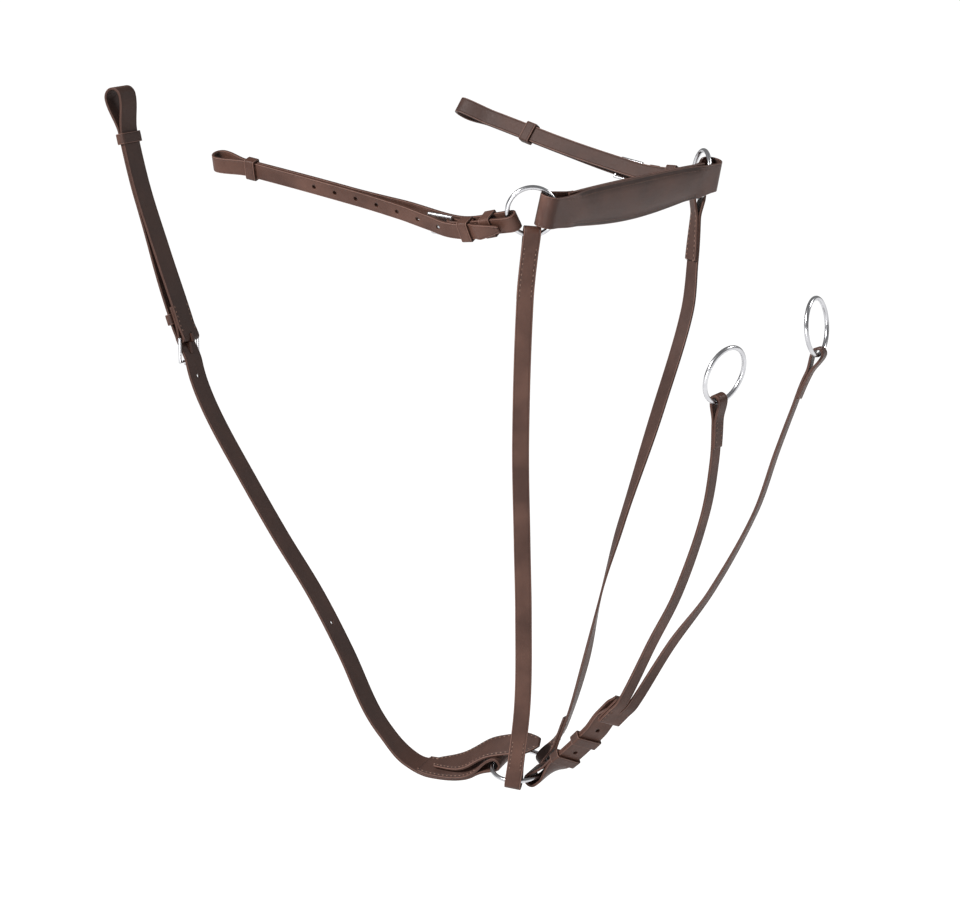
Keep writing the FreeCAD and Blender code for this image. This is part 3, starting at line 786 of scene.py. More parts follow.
class Shader:
    """A material's node tree, with one way to add a node."""

    def __init__(self, name: str) -> None:
        """Starts an empty material."""
        self.material = bpy.data.materials.new(name)
        self.material.use_nodes = True
        self.tree = self.material.node_tree
        self.tree.nodes.clear()

    def node(self, kind: str, settings: Optional[dict] = None,
             sockets: Optional[dict] = None) -> bpy.types.Node:
        """Adds a node.

        Args:
            kind: the node's type.
            settings: its settings, set first.
            sockets: a value, or a link from a Value or a socket, for each input.

        Returns:
            The node.
        """
        made = self.tree.nodes.new(kind)
        for key, setting in (settings or {}).items():
            setattr(made, key, setting)
        for key, given in (sockets or {}).items():
            if isinstance(given, Value):
                given = given.socket
            if isinstance(given, bpy.types.NodeSocket):
                self.tree.links.new(given, made.inputs[key])
            else:
                made.inputs[key].default_value = given
        return made

    def value(self, kind: str, settings: Optional[dict] = None, sockets: Optional[dict] = None,
              output: Union[int, str] = 0) -> Value:
        """Adds a node and gives one of its outputs as a Value."""
        return Value(self, self.node(kind, settings, sockets).outputs[output])

    def mix(self, share: Any, first: Any, second: Any) -> bpy.types.NodeSocket:
        """Mixes two colours by a share."""
        settings = {"data_type": "RGBA", "blend_type": "MIX", "clamp_factor": True}
        return self.node("ShaderNodeMix", settings, {0: share, 6: first, 7: second}).outputs[2]

    def map(self, name: str) -> tuple[Value, Value]:
        """The two numbers that a mesh map holds."""
        uv = self.node("ShaderNodeUVMap", {"uv_map": name}).outputs[0]
        parts = self.node("ShaderNodeSeparateXYZ", {}, {0: uv})
        return Value(self, parts.outputs[0]), Value(self, parts.outputs[1])

    def noise(self, scale: float, detail: float = 3.0, roughness: float = 0.55,
              where: Optional[bpy.types.NodeSocket] = None) -> Value:
        """Smooth noise from 0 to 1 over the piece, at so many features a metre."""
        where = where or self.node("ShaderNodeTexCoord").outputs["Object"]
        return self.value("ShaderNodeTexNoise", {}, {"Vector": where, "Scale": scale,
                                                     "Detail": detail, "Roughness": roughness})

    def surface(self, constants: dict, linked: dict, height: Value, distance: float,
                strength: float = 1.0) -> bpy.types.Material:
        """Adds the bump, the surface and the output.

        Args:
            constants: inputs that are the same all over.
            linked: inputs that change over the surface.
            height: the relief.
            distance: metres of relief for a height of 1.
            strength: share of the bump that shows.

        Returns:
            The finished material.
        """
        bump = self.node("ShaderNodeBump", {}, {"Strength": strength, "Distance": distance,
                                                "Height": height})
        surface = self.node("ShaderNodeBsdfPrincipled", {},
                            {**constants, **linked, "Normal": bump.outputs[0]})
        self.node("ShaderNodeOutputMaterial", {}, {0: surface.outputs[0]})
        return self.material


def paint(red: float, green: float, blue: float) -> tuple[float, float, float, float]:
    """An opaque colour."""
    return (red, green, blue, 1.0)


@dataclass(frozen=True)
class BridleLeather:
    """Waxed havana leather: fine grain, creased and burnished edges, stitch seats; painted shade
    darkens the creases, stitch seats and horse side, and a painted highlight runs along the edge
    bevel.
    """

    name: str = "bridle_leather"
    light: tuple = paint(0.094, 0.044, 0.031)
    dark: tuple = paint(0.042, 0.017, 0.011)
    # inside: painted shade for the faces turned towards the horse
    inside: tuple = paint(0.020, 0.009, 0.0065)
    # edge: a light line on the bevel, a painted highlight with some worn edge colour
    edge: tuple = paint(0.20, 0.105, 0.08)
    # seat: painted shade for the edge crease and the stitch channels
    seat: tuple = paint(0.016, 0.007, 0.005)
    shine: float = 0.40
    grain: float = 1.0
    row_in: float = 2.6

    def material(self) -> bpy.types.Material:
        """The finish as a material."""
        shader = Shader(self.name)
        across = shader.map("run")[1]
        half, sewn = shader.map("marks")
        shaded_horse_side = shader.map("shaded_horse_side")[0]
        inset = (half - abs(across)) * 1000.0
        mottle = shader.noise(22.0, 3.0)
        stretch = shader.noise(90.0, 4.0, 0.6)
        grain = shader.noise(1500.0, 3.0, 0.6)
        pores = shader.value("ShaderNodeTexVoronoi", {"feature": "DISTANCE_TO_EDGE"},
                             {"Vector": shader.node("ShaderNodeTexCoord").outputs["Object"],
                              "Scale": 1150.0})
        crackle = (pores * 6.0).held()
        scuffs = (shader.noise(260.0, 5.0, 0.7) - 0.56).held() * 4.0
        wall = (1 - inset / 0.16).held()
        # rim: the bevel line where the painted highlight goes
        rim = inset.ridge(0.5, 0.42)
        shaded_crease = inset.ridge(1.5, 0.42)
        seat = inset.ridge(self.row_in, 0.95) * sewn
        colour = shader.mix((mottle - 0.35) * 2.2, self.dark, self.light)
        colour = shader.mix((stretch - 0.5) * 0.55, colour, self.light)
        colour = shader.mix(crackle * -0.18 + 0.18, colour, self.dark)
        # Painted shade: faces turned towards the horse darken towards the inside colour.
        colour = shader.mix(shaded_horse_side * (0.82 - stretch * 0.3), colour, self.inside)
        # Painted shade in the edge crease and the stitch channels.
        colour = shader.mix(shaded_crease * 0.5 + seat * 0.55, colour, self.seat)
        colour = shader.mix(wall * 0.7, colour, self.dark)
        # Painted highlight along the bevel, partly lighter worn edge colour.
        colour = shader.mix(rim * (stretch * 0.9 + 0.1), colour, self.edge)
        rough = mottle * 0.14 + grain * 0.10 + scuffs * 0.06 + shaded_horse_side * 0.14 + (self.shine - 0.10)
        relief = (grain * 0.35 * self.grain + crackle * 0.40 * self.grain + stretch * 1.1
                  - shaded_crease * 1.3 - seat * 1.2)
        return shader.surface({"Specular IOR Level": 0.24, "IOR": 1.5},
                              {"Base Color": colour, "Roughness": rough}, relief, 0.00016)


@dataclass(frozen=True)
class WaxedThread:
    """Brown waxed thread, its twist just showing."""

    name: str = "waxed_thread"
    light: tuple = paint(0.27, 0.165, 0.125)
    dark: tuple = paint(0.12, 0.062, 0.044)

    def material(self) -> bpy.types.Material:
        """The finish as a material."""
        shader = Shader(self.name)
        cloud = shader.noise(140.0, 3.0)
        twist = shader.noise(3200.0, 2.0)
        colour = shader.mix((cloud - 0.3) * 1.8, self.dark, self.light)
        rough = twist * 0.2 + 0.45
        return shader.surface({"Specular IOR Level": 0.3}, {"Base Color": colour,
                                                            "Roughness": rough},
                              twist, 0.00012)


@dataclass(frozen=True)
class PolishedSteel:
    """Bright stainless wire with faint polishing lines and a few dull spots."""

    name: str
    light: tuple = paint(0.74, 0.74, 0.75)
    dark: tuple = paint(0.52, 0.52, 0.54)
    shine: float = 0.14

    def material(self) -> bpy.types.Material:
        """The finish as a material."""
        shader = Shader(self.name)
        cloud = shader.noise(70.0, 4.0, 0.6)
        fine = shader.noise(2600.0, 2.0, 0.5)
        where = shader.node("ShaderNodeTexCoord").outputs["Object"]
        stretched = shader.node("ShaderNodeMapping", {}, {0: where, 3: (300.0, 300.0, 5200.0)})
        lines = shader.noise(1.0, 2.0, 0.5, stretched.outputs[0])
        colour = shader.mix((cloud - 0.42) * 2.0, self.dark, self.light)
        rough = cloud * 0.10 + lines * 0.07 + self.shine
        return shader.surface({"Metallic": 1.0, "Specular IOR Level": 0.5},
                              {"Base Color": colour, "Roughness": rough},
                              fine * 0.4 + lines * 0.6, 0.00002, 0.6)


@dataclass(frozen=True)
class StudioPaper:
    """The matt white paper under the object."""

    name: str = "studio_paper"
    colour: tuple = paint(0.74, 0.74, 0.74)

    def material(self) -> bpy.types.Material:
        """The finish as a material."""
        shader = Shader(self.name)
        cloud = shader.noise(4.0, 2.0)
        colour = shader.mix(cloud * 0.3, self.colour, paint(0.70, 0.70, 0.70))
        return shader.surface({"Specular IOR Level": 0.2, "Roughness": 0.9},
                              {"Base Color": colour}, cloud, 0.0002, 0.2)


@dataclass
class Finishes:
    """Every finish, made once."""

    strap: bpy.types.Material = field(init=False)
    pad: bpy.types.Material = field(init=False)
    lining: bpy.types.Material = field(init=False)
    thread: bpy.types.Material = field(init=False)
    ring: bpy.types.Material = field(init=False)
    buckle: bpy.types.Material = field(init=False)
    paper: bpy.types.Material = field(init=False)

    def __post_init__(self) -> None:
        """Makes the materials."""
        self.strap = BridleLeather().material()
        self.pad = BridleLeather("pad_leather", light=paint(0.092, 0.042, 0.030),
                                 dark=paint(0.040, 0.017, 0.012), shine=0.36, grain=1.6,
                                 row_in=4.4).material()
        self.lining = BridleLeather("lining_leather", light=paint(0.062, 0.029, 0.021),
                                    dark=paint(0.036, 0.016, 0.012), shine=0.58, grain=1.8,
                                    row_in=3.4).material()
        self.thread = WaxedThread().material()
        self.ring = PolishedSteel("ring_steel").material()
        self.buckle = PolishedSteel("buckle_steel", light=paint(0.70, 0.69, 0.69),
                                    shine=0.17).material()
        self.paper = StudioPaper().material()


def dress(piece: bpy.types.Object, body: str, slot_name: Slot, finish: bpy.types.Material,
          *nodes: str) -> bpy.types.Object:
    """Gives a piece its finish, its body and the CAD nodes that it stands for.

    Args:
        piece: the new object.
        body: the body that it rides on.
        slot_name: the record's material slot; not used.
        finish: its material.
        *nodes: the CAD nodes that it replaces.

    Returns:
        The same object.
    """
    piece.data.materials.clear()
    piece.data.materials.append(finish)
    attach(piece, body)
    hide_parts(*nodes)
    LOG.info("%s: %d faces, rides %s", piece.name, len(piece.data.polygons), body)
    return piece


def sew(name: str, body: str, finishes: Finishes, paths: Sequence[Sequence[Station]], out: int,
        thickness: float = LEATHER, seam: Seam = Seam()) -> None:
    """Adds a strap's stitches as a piece of its own.

    Args:
        name: the piece's name.
        body: the body that it rides on.
        finishes: the materials.
        paths: the stations of each strap.
        out: +1 if the outer side is the path's face side, or -1.
        thickness: the leather's thickness.
        seam: the stitch sizes.
    """
    dress(seam.build(name, paths, thickness, out), body, Slot.STRAP, finishes.thread)


# ---- the rings and what is carried over from the frame -------------------------------------


@dataclass
class Rings:
    """The five wire rings of the breastplate."""

    wither_span: float = 290.0
    wither_outer: float = 50.0
    chest_outer: float = 59.0
    rein_outer: float = 58.0
    right: Ring = field(init=False)
    left: Ring = field(init=False)
    chest: Ring = field(init=False)
    right_rein: Ring = field(init=False)
    left_rein: Ring = field(init=False)

    def __post_init__(self) -> None:
        """Places the rings."""
        turned = Vector((0.62, -0.76, -0.15))
        side = Vector((0, self.wither_span / 2, 0))
        self.right = Ring(-side, turned, self.wither_outer)
        self.left = Ring(side, mirror(turned), self.wither_outer)
        self.chest = Ring(Vector((-112, 0, -579)), Vector((0.1, -0.28, 0.955)), self.chest_outer)
        self.right_rein = Ring(Vector((162, -70, -146)), Vector((0.958, -0.126, -0.251)),
                               self.rein_outer)
        self.left_rein = Ring(Vector((175, 72, -121)), Vector((0.98, 0.17, 0.09)),
                              self.rein_outer)

    def build(self, finishes: Finishes) -> None:
        """Builds the rings as smooth wire."""
        named = {"wither_ring_right": self.right, "wither_ring_left": self.left,
                 "chest_ring": self.chest, "rein_ring_right": self.right_rein,
                 "rein_ring_left": self.left_rein}
        for name, ring in named.items():
            path = []
            for k in range(120):
                place, tangent = ring.wire_at(3.0 * k)
                path.append(Station(place, ring.normal, WIRE))
            piece = leather_run(f"{name}_wire", [path], Disc(WIRE / 2, 24), closed=True)
            dress(piece, name, Slot.RING, finishes.ring, name)


@dataclass
class CarriedOver:
    """The frame's own buckles, tongues and stud, which keep their shape and get their steel."""

    names: tuple = ("girth_buckle", "girth_tongue", "saddle_buckle_right", "saddle_tongue_right",
                    "saddle_buckle_left", "saddle_tongue_left", "martingale_stud")

    def dress(self, nodes: dict, finishes: Finishes) -> None:
        """Gives each node its steel."""
        for name in self.names:
            node = nodes[name]
            node.data.materials.clear()
            node.data.materials.append(finishes.buckle)
            node.data.polygons.foreach_set("use_smooth", [True] * len(node.data.polygons))
            node.data.set_sharp_from_angle(angle=math.radians(40))
            LOG.info("%s: carried over", name)


# ---- neck straps ---------------------------------------------------------------------------


@dataclass
class NeckStraps:
    """The two straps from the wither rings down to the chest ring."""

    rings: Rings
    ring_angle: float = 270.0
    right_chest_angle: float = 272.0
    left_chest_angle: float = 34.0
    lap_top: float = 62.0
    lap_bottom: float = 48.0

    def strap(self, spine: Spine, side: int, ring: Ring, chest_angle: float) -> list[Station]:
        """One strap's stations.

        Args:
            spine: its line.
            side: +1 where its laps are on the far face.
            ring: its wither ring.
            chest_angle: where it holds the chest ring.

        Returns:
            Its stations, from the end of the top lap to the end of the bottom lap.
        """
        far, width = spine.length, NECK_WIDTH
        shift, middle, fold = ring.seat(self.ring_angle, spine, 0.0, width)
        start = -shift
        shift, foot_middle, foot_fold = self.rings.chest.seat(chest_angle, spine, far, width)
        end = far + shift
        run = eased((start, middle + side * fold), (FOLD_REACH, side * LEVEL),
                    (far - FOLD_REACH, side * LEVEL), (end, foot_middle + side * foot_fold))
        lap = eased((start, middle - side * fold), (FOLD_REACH, -side * LEVEL),
                    (far - FOLD_REACH, -side * LEVEL), (end, foot_middle - side * foot_fold))
        sewn = within((FOLD_REACH - 8, self.lap_top), (far - self.lap_bottom, far - FOLD_REACH + 6))
        stations = spine.layer(self.lap_top, start, lap, width, sewn)
        stations += spine.turn(start, middle, fold, -1, -side, width)
        stations += spine.layer(start, end, run, width, sewn)
        stations += spine.turn(end, foot_middle, foot_fold, 1, side, width)
        stations += spine.layer(end, far - self.lap_bottom, lap, width, sewn)
        return stations

    def build(self, finishes: Finishes) -> None:
        """Builds and dresses both straps."""
        flat = Vector((0.8, 0.6, 0))
        top, top_way = self.rings.right.wire_at(self.ring_angle)
        foot, foot_way = self.rings.chest.wire_at(self.right_chest_angle)
        right = Spine([top] + vectors((-11, -140, -84), (-32, -116, -222), (-52, -84, -330),
                                      (-64, -64, -405), (-80, -42, -500)) + [foot],
                      [top_way] + [flat] * 5 + [foot_way])
        top, top_way = self.rings.left.wire_at(self.ring_angle)
        foot, foot_way = self.rings.chest.wire_at(self.left_chest_angle)
        left = Spine([top] + vectors((-7, 141, -84), (-8, 133, -135), (-22, 107, -224),
                                     (-48, 80, -340), (-59, 62, -407), (-67, 45, -478),
                                     (-80, 30, -540)) + [foot],
                     [-top_way] + [level_way(a) for a in (-20, -12, -15, -40, -60, -80, -72)]
                     + [-foot_way])
        for name, spine, side, ring, angle in (
                ("right", right, 1, self.rings.right, self.right_chest_angle),
                ("left", left, -1, self.rings.left, self.left_chest_angle)):
            path = self.strap(spine, side, ring, angle)
            piece = leather_run(f"neck_leather_{name}", [path], Section())
            sew(f"neck_stitches_{name}", Body.NECK.value, finishes, [path], side)
            dress(piece, Body.NECK.value, Slot.STRAP, finishes.strap, f"neck_strap_{name}")


# ---- wither pad ----------------------------------------------------------------------------


@dataclass
class WitherPad:
    """The stuffed band between the wither rings: a crowned cover, its lining and rolled edges."""

    rings: Rings
    end_width: float = 30.0
    middle_width: float = 42.0
    leather: float = 2.0
    sag: float = 4.0
    lap: float = 24.0
    level: float = 3.7
    crown: float = 1.6
    seam: float = 1.25
    edge_roll: float = 1.35
    way: Vector = field(default_factory=lambda: Vector((0.226, 0, 0.974)))
    spine: Spine = field(init=False)
    start: float = field(init=False)
    middle: float = field(init=False)
    fold: float = field(init=False)

    def __post_init__(self) -> None:
        """Draws the pad's line and seats its ends on the rings."""
        end = self.rings.right.wire_at(0.0)[0]
        self.spine = Spine([end, Vector((end.x - 1, 0, -self.sag)), mirror(end)], [self.way] * 3)
        shift, self.middle, self.fold = self.rings.right.seat(0.0, self.spine, 0.0,
                                                              self.end_width, self.leather, 1.2)
        self.start = -shift

    def width(self, s: float) -> float:
        """The pad's width, wider towards its middle."""
        share = min(max(s / self.spine.length, 0.0), 1.0)
        return self.end_width + (self.middle_width - self.end_width) * math.sin(math.pi * share)

    def fullness(self, s: float) -> float:
        """How full the stuffing is: 0 at the ends and 1 along the middle, gently uneven."""
        far = self.spine.length
        rise = min(max((min(s, far - s) - 12.0) / 34.0, 0.0), 1.0)
        uneven = 1 + 0.10 * noise.noise(Vector((s / 38.0, 3.7, 1.1)))
        return rise * rise * (3 - 2 * rise) * uneven

    def build(self, finishes: Finishes) -> None:
        """Builds and dresses the cover, the stuffed core with its lining, and the rolled edges."""
        far = self.spine.length
        raised = self.level + self.crown
        end = self.middle + self.fold
        back_end = self.middle - self.fold
        front = eased((self.start, end), (2 * self.lap, raised), (far - 2 * self.lap, raised),
                      (far - self.start, end))
        behind = eased((self.start, back_end), (self.lap, -2.2), (far - self.lap, -2.2),
                       (far - self.start, back_end))
        droop = lambda s: (raised - self.seam) * self.fullness(s)
        sewn = within((8, far - 8))
        stations = self.spine.layer(self.lap, self.start, behind, self.width, sewn)
        stations += self.spine.turn(self.start, self.middle, self.fold, -1, -1, self.end_width)
        stations += self.spine.layer(self.start, far - self.start, front, self.width, sewn, droop)
        stations += self.spine.turn(far - self.start, self.middle, self.fold, 1, 1, self.end_width)
        stations += self.spine.layer(far - self.start, far - self.lap, behind, self.width, sewn)
        cover = leather_run("wither_pad_skin", [stations], Section(self.leather, 0.6, 2.2, 0.05))
        dress(cover, Body.PAD.value, Slot.PAD, finishes.pad, "wither_pad_cover")
        front_rows = [self.spine.layer(8.0, far - 8.0, front, self.width, sewn, droop)]
        sew("wither_pad_stitches", Body.PAD.value, finishes, front_rows, 1, self.leather,
            Seam(4.4, 3.4, 2.6, 0.38))
        back = lambda s: -0.6 - 2.2 * self.fullness(s)
        core = self.spine.layer(self.lap + 0.6, far - self.lap - 0.6, back,
                                lambda s: self.width(s) - 0.6, sewn,
                                lambda s: -1.6 * self.fullness(s))
        lining = leather_run("wither_pad_core", [core], Section(2.4, 0.8, 2.4, 0.08))
        dress(lining, Body.PAD.value, Slot.LINING, finishes.lining, "wither_pad_lining",
              "wither_pad_foam")
        edges = []
        for side in (1, -1):
            edge = []
            for station in self.spine.layer(14.0, far - 14.0, 0.2, self.width):
                out = station.across * (side * (station.width / 2 - 0.5))
                edge.append(Station(station.place + out, station.across, 2 * self.edge_roll))
            edges.append(edge)
        roll = leather_run("wither_pad_roll", edges, Disc(self.edge_roll, 10))
        dress(roll, Body.PAD.value, Slot.PAD, finishes.strap)


# ---- saddle straps -------------------------------------------------------------------------


@dataclass
class SaddleStrap:
    """A strap round the wither ring, back to its loop and forward again to its buckle."""

    name: str
    side: int
    ring: Ring
    angle: float
    points: list[Vector]
    ways: list[Vector]
    loop_keeper_back: float
    loop_radius: float
    bar: float = 64.0
    tail: float = 26.0
    tip_at: float = 6.0
    taper: float = 24.0
    loop_reach: float = 32.0
    holes: int = 7
    peg_at: float = 12.0
    ring_keeper_at: float = 22.0
    buckle_keeper_at: float = 46.0
    behind_buckle: float = 1.4

    def build(self, finishes: Finishes) -> None:
        """Builds and dresses the strap and its three keepers."""
        spine = Spine([self.ring.wire_at(self.angle)[0]] + self.points, self.ways)
        side, bar, width = self.side, self.bar, SADDLE_WIDTH
        loop_at = spine.length - self.loop_radius
        level_at = loop_at - self.loop_reach
        shift, middle, fold = self.ring.seat(self.angle, spine, 0.0, width)
        start = -shift
        middle = side * middle
        stand_off = OVER_BAR + self.behind_buckle
        main = signed(side, eased(
            (start, middle + fold), (self.buckle_keeper_at - 10, stand_off),
            (bar + 10, stand_off), (bar + 120, LEVEL + 0.6),
            (level_at, LEVEL), (loop_at, self.loop_radius)))
        lap = signed(side, eased((start, middle - fold), (36, -LEVEL), (bar - 14, -LEVEL),
                                 (bar, -BAR_FOLD)))
        tail = signed(side, eased((bar - 14, LEVEL), (bar, BAR_FOLD)))
        billet = signed(side, eased(
            (self.tip_at, -10.5), (self.ring_keeper_at + 8, -9.4),
            (self.buckle_keeper_at - 6, -OVER_BAR), (bar + 2, -OVER_BAR),
            (bar + BUCKLE_LENGTH, -3.8), (bar + 110, -LEVEL - 0.4), (level_at, -LEVEL),
            (loop_at, -self.loop_radius)))
        sewn = within((self.ring_keeper_at + 4, bar - 4))
        stations = spine.layer(bar - self.tail, bar, tail, width, sewn)
        stations += spine.turn(bar, 0.0, BAR_FOLD, 1, side, width, 10)
        stations += spine.layer(bar, start, lap, width, sewn)
        stations += spine.turn(start, side * middle, fold, -1, -side, width)
        stations += spine.layer(start, loop_at, main, width)
        stations += spine.turn(loop_at, 0.0, self.loop_radius, 1, side, width)
        stations += spine.layer(loop_at, self.tip_at, billet,
                                pointed(width, self.tip_at, self.taper, 0.35))
        piece = leather_run(f"saddle_leather_{self.name}", [stations], Section())
        places = [bar + self.peg_at + k * HOLE_PITCH for k in range(self.holes)]
        punch(piece, [hole(spine, s, billet(s)) for s in places] + [tongue_slot(spine, bar, 1)])
        body = f"saddle_{self.name}"
        sew(f"saddle_stitches_{self.name}", body, finishes, [stations], side)
        dress(piece, body, Slot.STRAP, finishes.strap, f"saddle_strap_{self.name}")
        for kind, s, offsets, rides in (
                ("ring_keeper", self.ring_keeper_at, [main, lap], body),
                ("buckle_keeper", self.buckle_keeper_at, [billet, tail], body),
                ("loop_keeper", spine.length - self.loop_keeper_back, [billet, main],
                 f"saddle_loop_keeper_{self.name}")):
            band = keeper_band(f"saddle_{kind}_band_{self.name}", spine, s, offsets, width)
            dress(band, rides, Slot.STRAP, finishes.strap, f"saddle_{kind}_{self.name}")


def saddle_straps(rings: Rings) -> list[SaddleStrap]:
    """The right and left saddle straps, each with its own line."""
    right = SaddleStrap(
        "right", 1, rings.right, 206.0,
        vectors((-72, -158, -20), (-138, -160, -9), (-221, -163, 4), (-300, -165, 15),
                (-352, -165, 21)),
        vectors((-0.1, -0.45, 0.88), (0, -0.4, 0.92), (0, -0.35, 0.94), (0, -0.33, 0.94),
                (0, -0.31, 0.95), (0, -0.31, 0.95)), 45.0, 7.5)
    left = SaddleStrap(
        "left", -1, rings.left, 337.0,
        vectors((-66, 158, -9), (-111, 160, -2), (-177, 163, 12), (-240, 165, 27),
                (-300, 166, 41)),
        vectors((-0.1, 0.5, 0.86), (-0.1, 0.5, 0.86), (-0.1, 0.5, 0.86), (0, 0.48, 0.88),
                (0, 0.5, 0.87), (0, 0.5, 0.87)), 88.0, 9.5)
    return [right, left]


# ---- girth strap ---------------------------------------------------------------------------


@dataclass
class GirthStrap:
    """The strap from the chest ring between the forelegs to the girth loop, and its guard."""

    rings: Rings
    ring_angle: float = 163.0
    lap: float = 92.0
    loop_radius: float = 9.6
    loop_reach: float = 38.0
    tail: float = 34.0
    loop_run: float = 264.0
    peg_back: float = 7.0
    hole_near_chest: float = 330.0
    keeper_room: float = 1.0
    guard_thickness: float = 3.0
    guard_taper: float = 14.0

    def build(self, finishes: Finishes) -> None:
        """Builds and dresses the strap, its two keepers and the guard."""
        foot, foot_way = self.rings.chest.wire_at(self.ring_angle)
        spine = Spine(
            [foot] + vectors((-176, -1, -592), (-214, 0, -598), (-243, 0, -593), (-272, 0, -573),
                             (-294, 0, -548), (-324, 0, -496), (-362, 0, -440), (-407, 0, -385),
                             (-448, 0, -331), (-489, 0, -274), (-510, 0, -235), (-523, 0, -190),
                             (-557, 0, -107), (-583, 0, -40), (-609, 0, 55)),
            [-foot_way] + vectors((0, 0.7, 0.71), (0, 0.86, 0.5), (0, 0.97, 0.2))
            + [Vector((0, 1, 0))] * 12)
        top = spine.length - self.loop_radius
        bar = spine.length - self.loop_run
        width = GIRTH_WIDTH
        shift, middle, fold = self.rings.chest.seat(self.ring_angle, spine, 0.0, width)
        start = -shift
        rising = eased(
            (start, middle + fold), (FOLD_REACH + 6, LEVEL), (self.lap + 20, LEVEL),
            (self.lap + 60, 0.0), (bar - 26, 0.0), (bar + 2, OVER_BAR),
            (bar + 14, OVER_BAR + self.keeper_room), (bar + self.tail, OVER_BAR + self.keeper_room),
            (bar + 150, LEVEL), (top - self.loop_reach, LEVEL), (top, self.loop_radius))
        lap = eased((start, middle - fold), (FOLD_REACH + 6, -LEVEL))
        falling = eased((bar, -BAR_FOLD), (bar + 14, -LEVEL), (top - self.loop_reach, -LEVEL),
                        (top, -self.loop_radius))
        tail = eased((bar, BAR_FOLD), (bar + 14, LEVEL))
        sewn = within((FOLD_REACH, self.lap), (bar + 6, bar + self.tail))
        stations = spine.layer(self.lap, start, lap, width, sewn)
        stations += spine.turn(start, middle, fold, -1, -1, width)
        stations += spine.layer(start, top, rising, width, within((FOLD_REACH, self.lap)))
        stations += spine.turn(top, 0.0, self.loop_radius, 1, 1, width, 18)
        stations += spine.layer(top, bar, falling, width, sewn)
        stations += spine.turn(bar, 0.0, BAR_FOLD, -1, -1, width, 10)
        stations += spine.layer(bar, bar + self.tail, tail, width, sewn)
        piece = leather_run("girth_leather", [stations], Section())
        places = (bar - self.peg_back - HOLE_PITCH * 1.4, bar - self.hole_near_chest)
        punch(piece, [hole(spine, s, rising(s)) for s in places]
              + [tongue_slot(spine, bar, -1),
                 slot(spine, bar - self.peg_back - 2, 16.0, TONGUE_WIRE + 1.0, 0.2, 9.0)])
        dress(piece, Body.GIRTH.value, Slot.STRAP, finishes.strap, "girth_strap")
        sew("girth_stitches", Body.GIRTH.value, finishes, [stations], 1)
        band = keeper_band("girth_buckle_keeper_band", spine, bar + 22, [rising], width)
        dress(band, Body.GIRTH.value, Slot.STRAP, finishes.strap, "girth_buckle_keeper")
        band = keeper_band("girth_loop_keeper_band", spine, spine.length - 52,
                           [rising, falling], width)
        dress(band, "girth_loop_keeper", Slot.STRAP, finishes.strap, "girth_loop_keeper")
        self.build_guard(finishes)

    def build_guard(self, finishes: Finishes) -> None:
        """Builds the two-layer tongue that lies behind the chest ring."""
        spine = Spine(vectors((-212, 0, -592), (-178, -3, -584), (-142, -4, -564), (-92, 6, -553)),
                      vectors((0, 0.84, 0.55), (0, 0.74, 0.67), (0, 0.75, 0.66), (0, 0.75, 0.66)))
        sewn = within((0.0, spine.length - 3.0))
        tip = pointed(GIRTH_WIDTH, spine.length, self.guard_taper, 0.4)
        root = pointed(GIRTH_WIDTH, 0.0, 46.0, 0.5)
        shape = lambda s: min(tip(s), root(s))
        stations = spine.layer(0.0, spine.length, 0.0, shape, sewn)
        piece = leather_run("guard_leather", [stations], Section(self.guard_thickness, 1.2))
        dress(piece, Body.GIRTH.value, Slot.STRAP, finishes.strap, "ring_guard")
        for name, out in (("guard_stitches_front", 1), ("guard_stitches_back", -1)):
            sew(name, Body.GIRTH.value, finishes, [stations], out, self.guard_thickness)


# ---- martingale ----------------------------------------------------------------------------


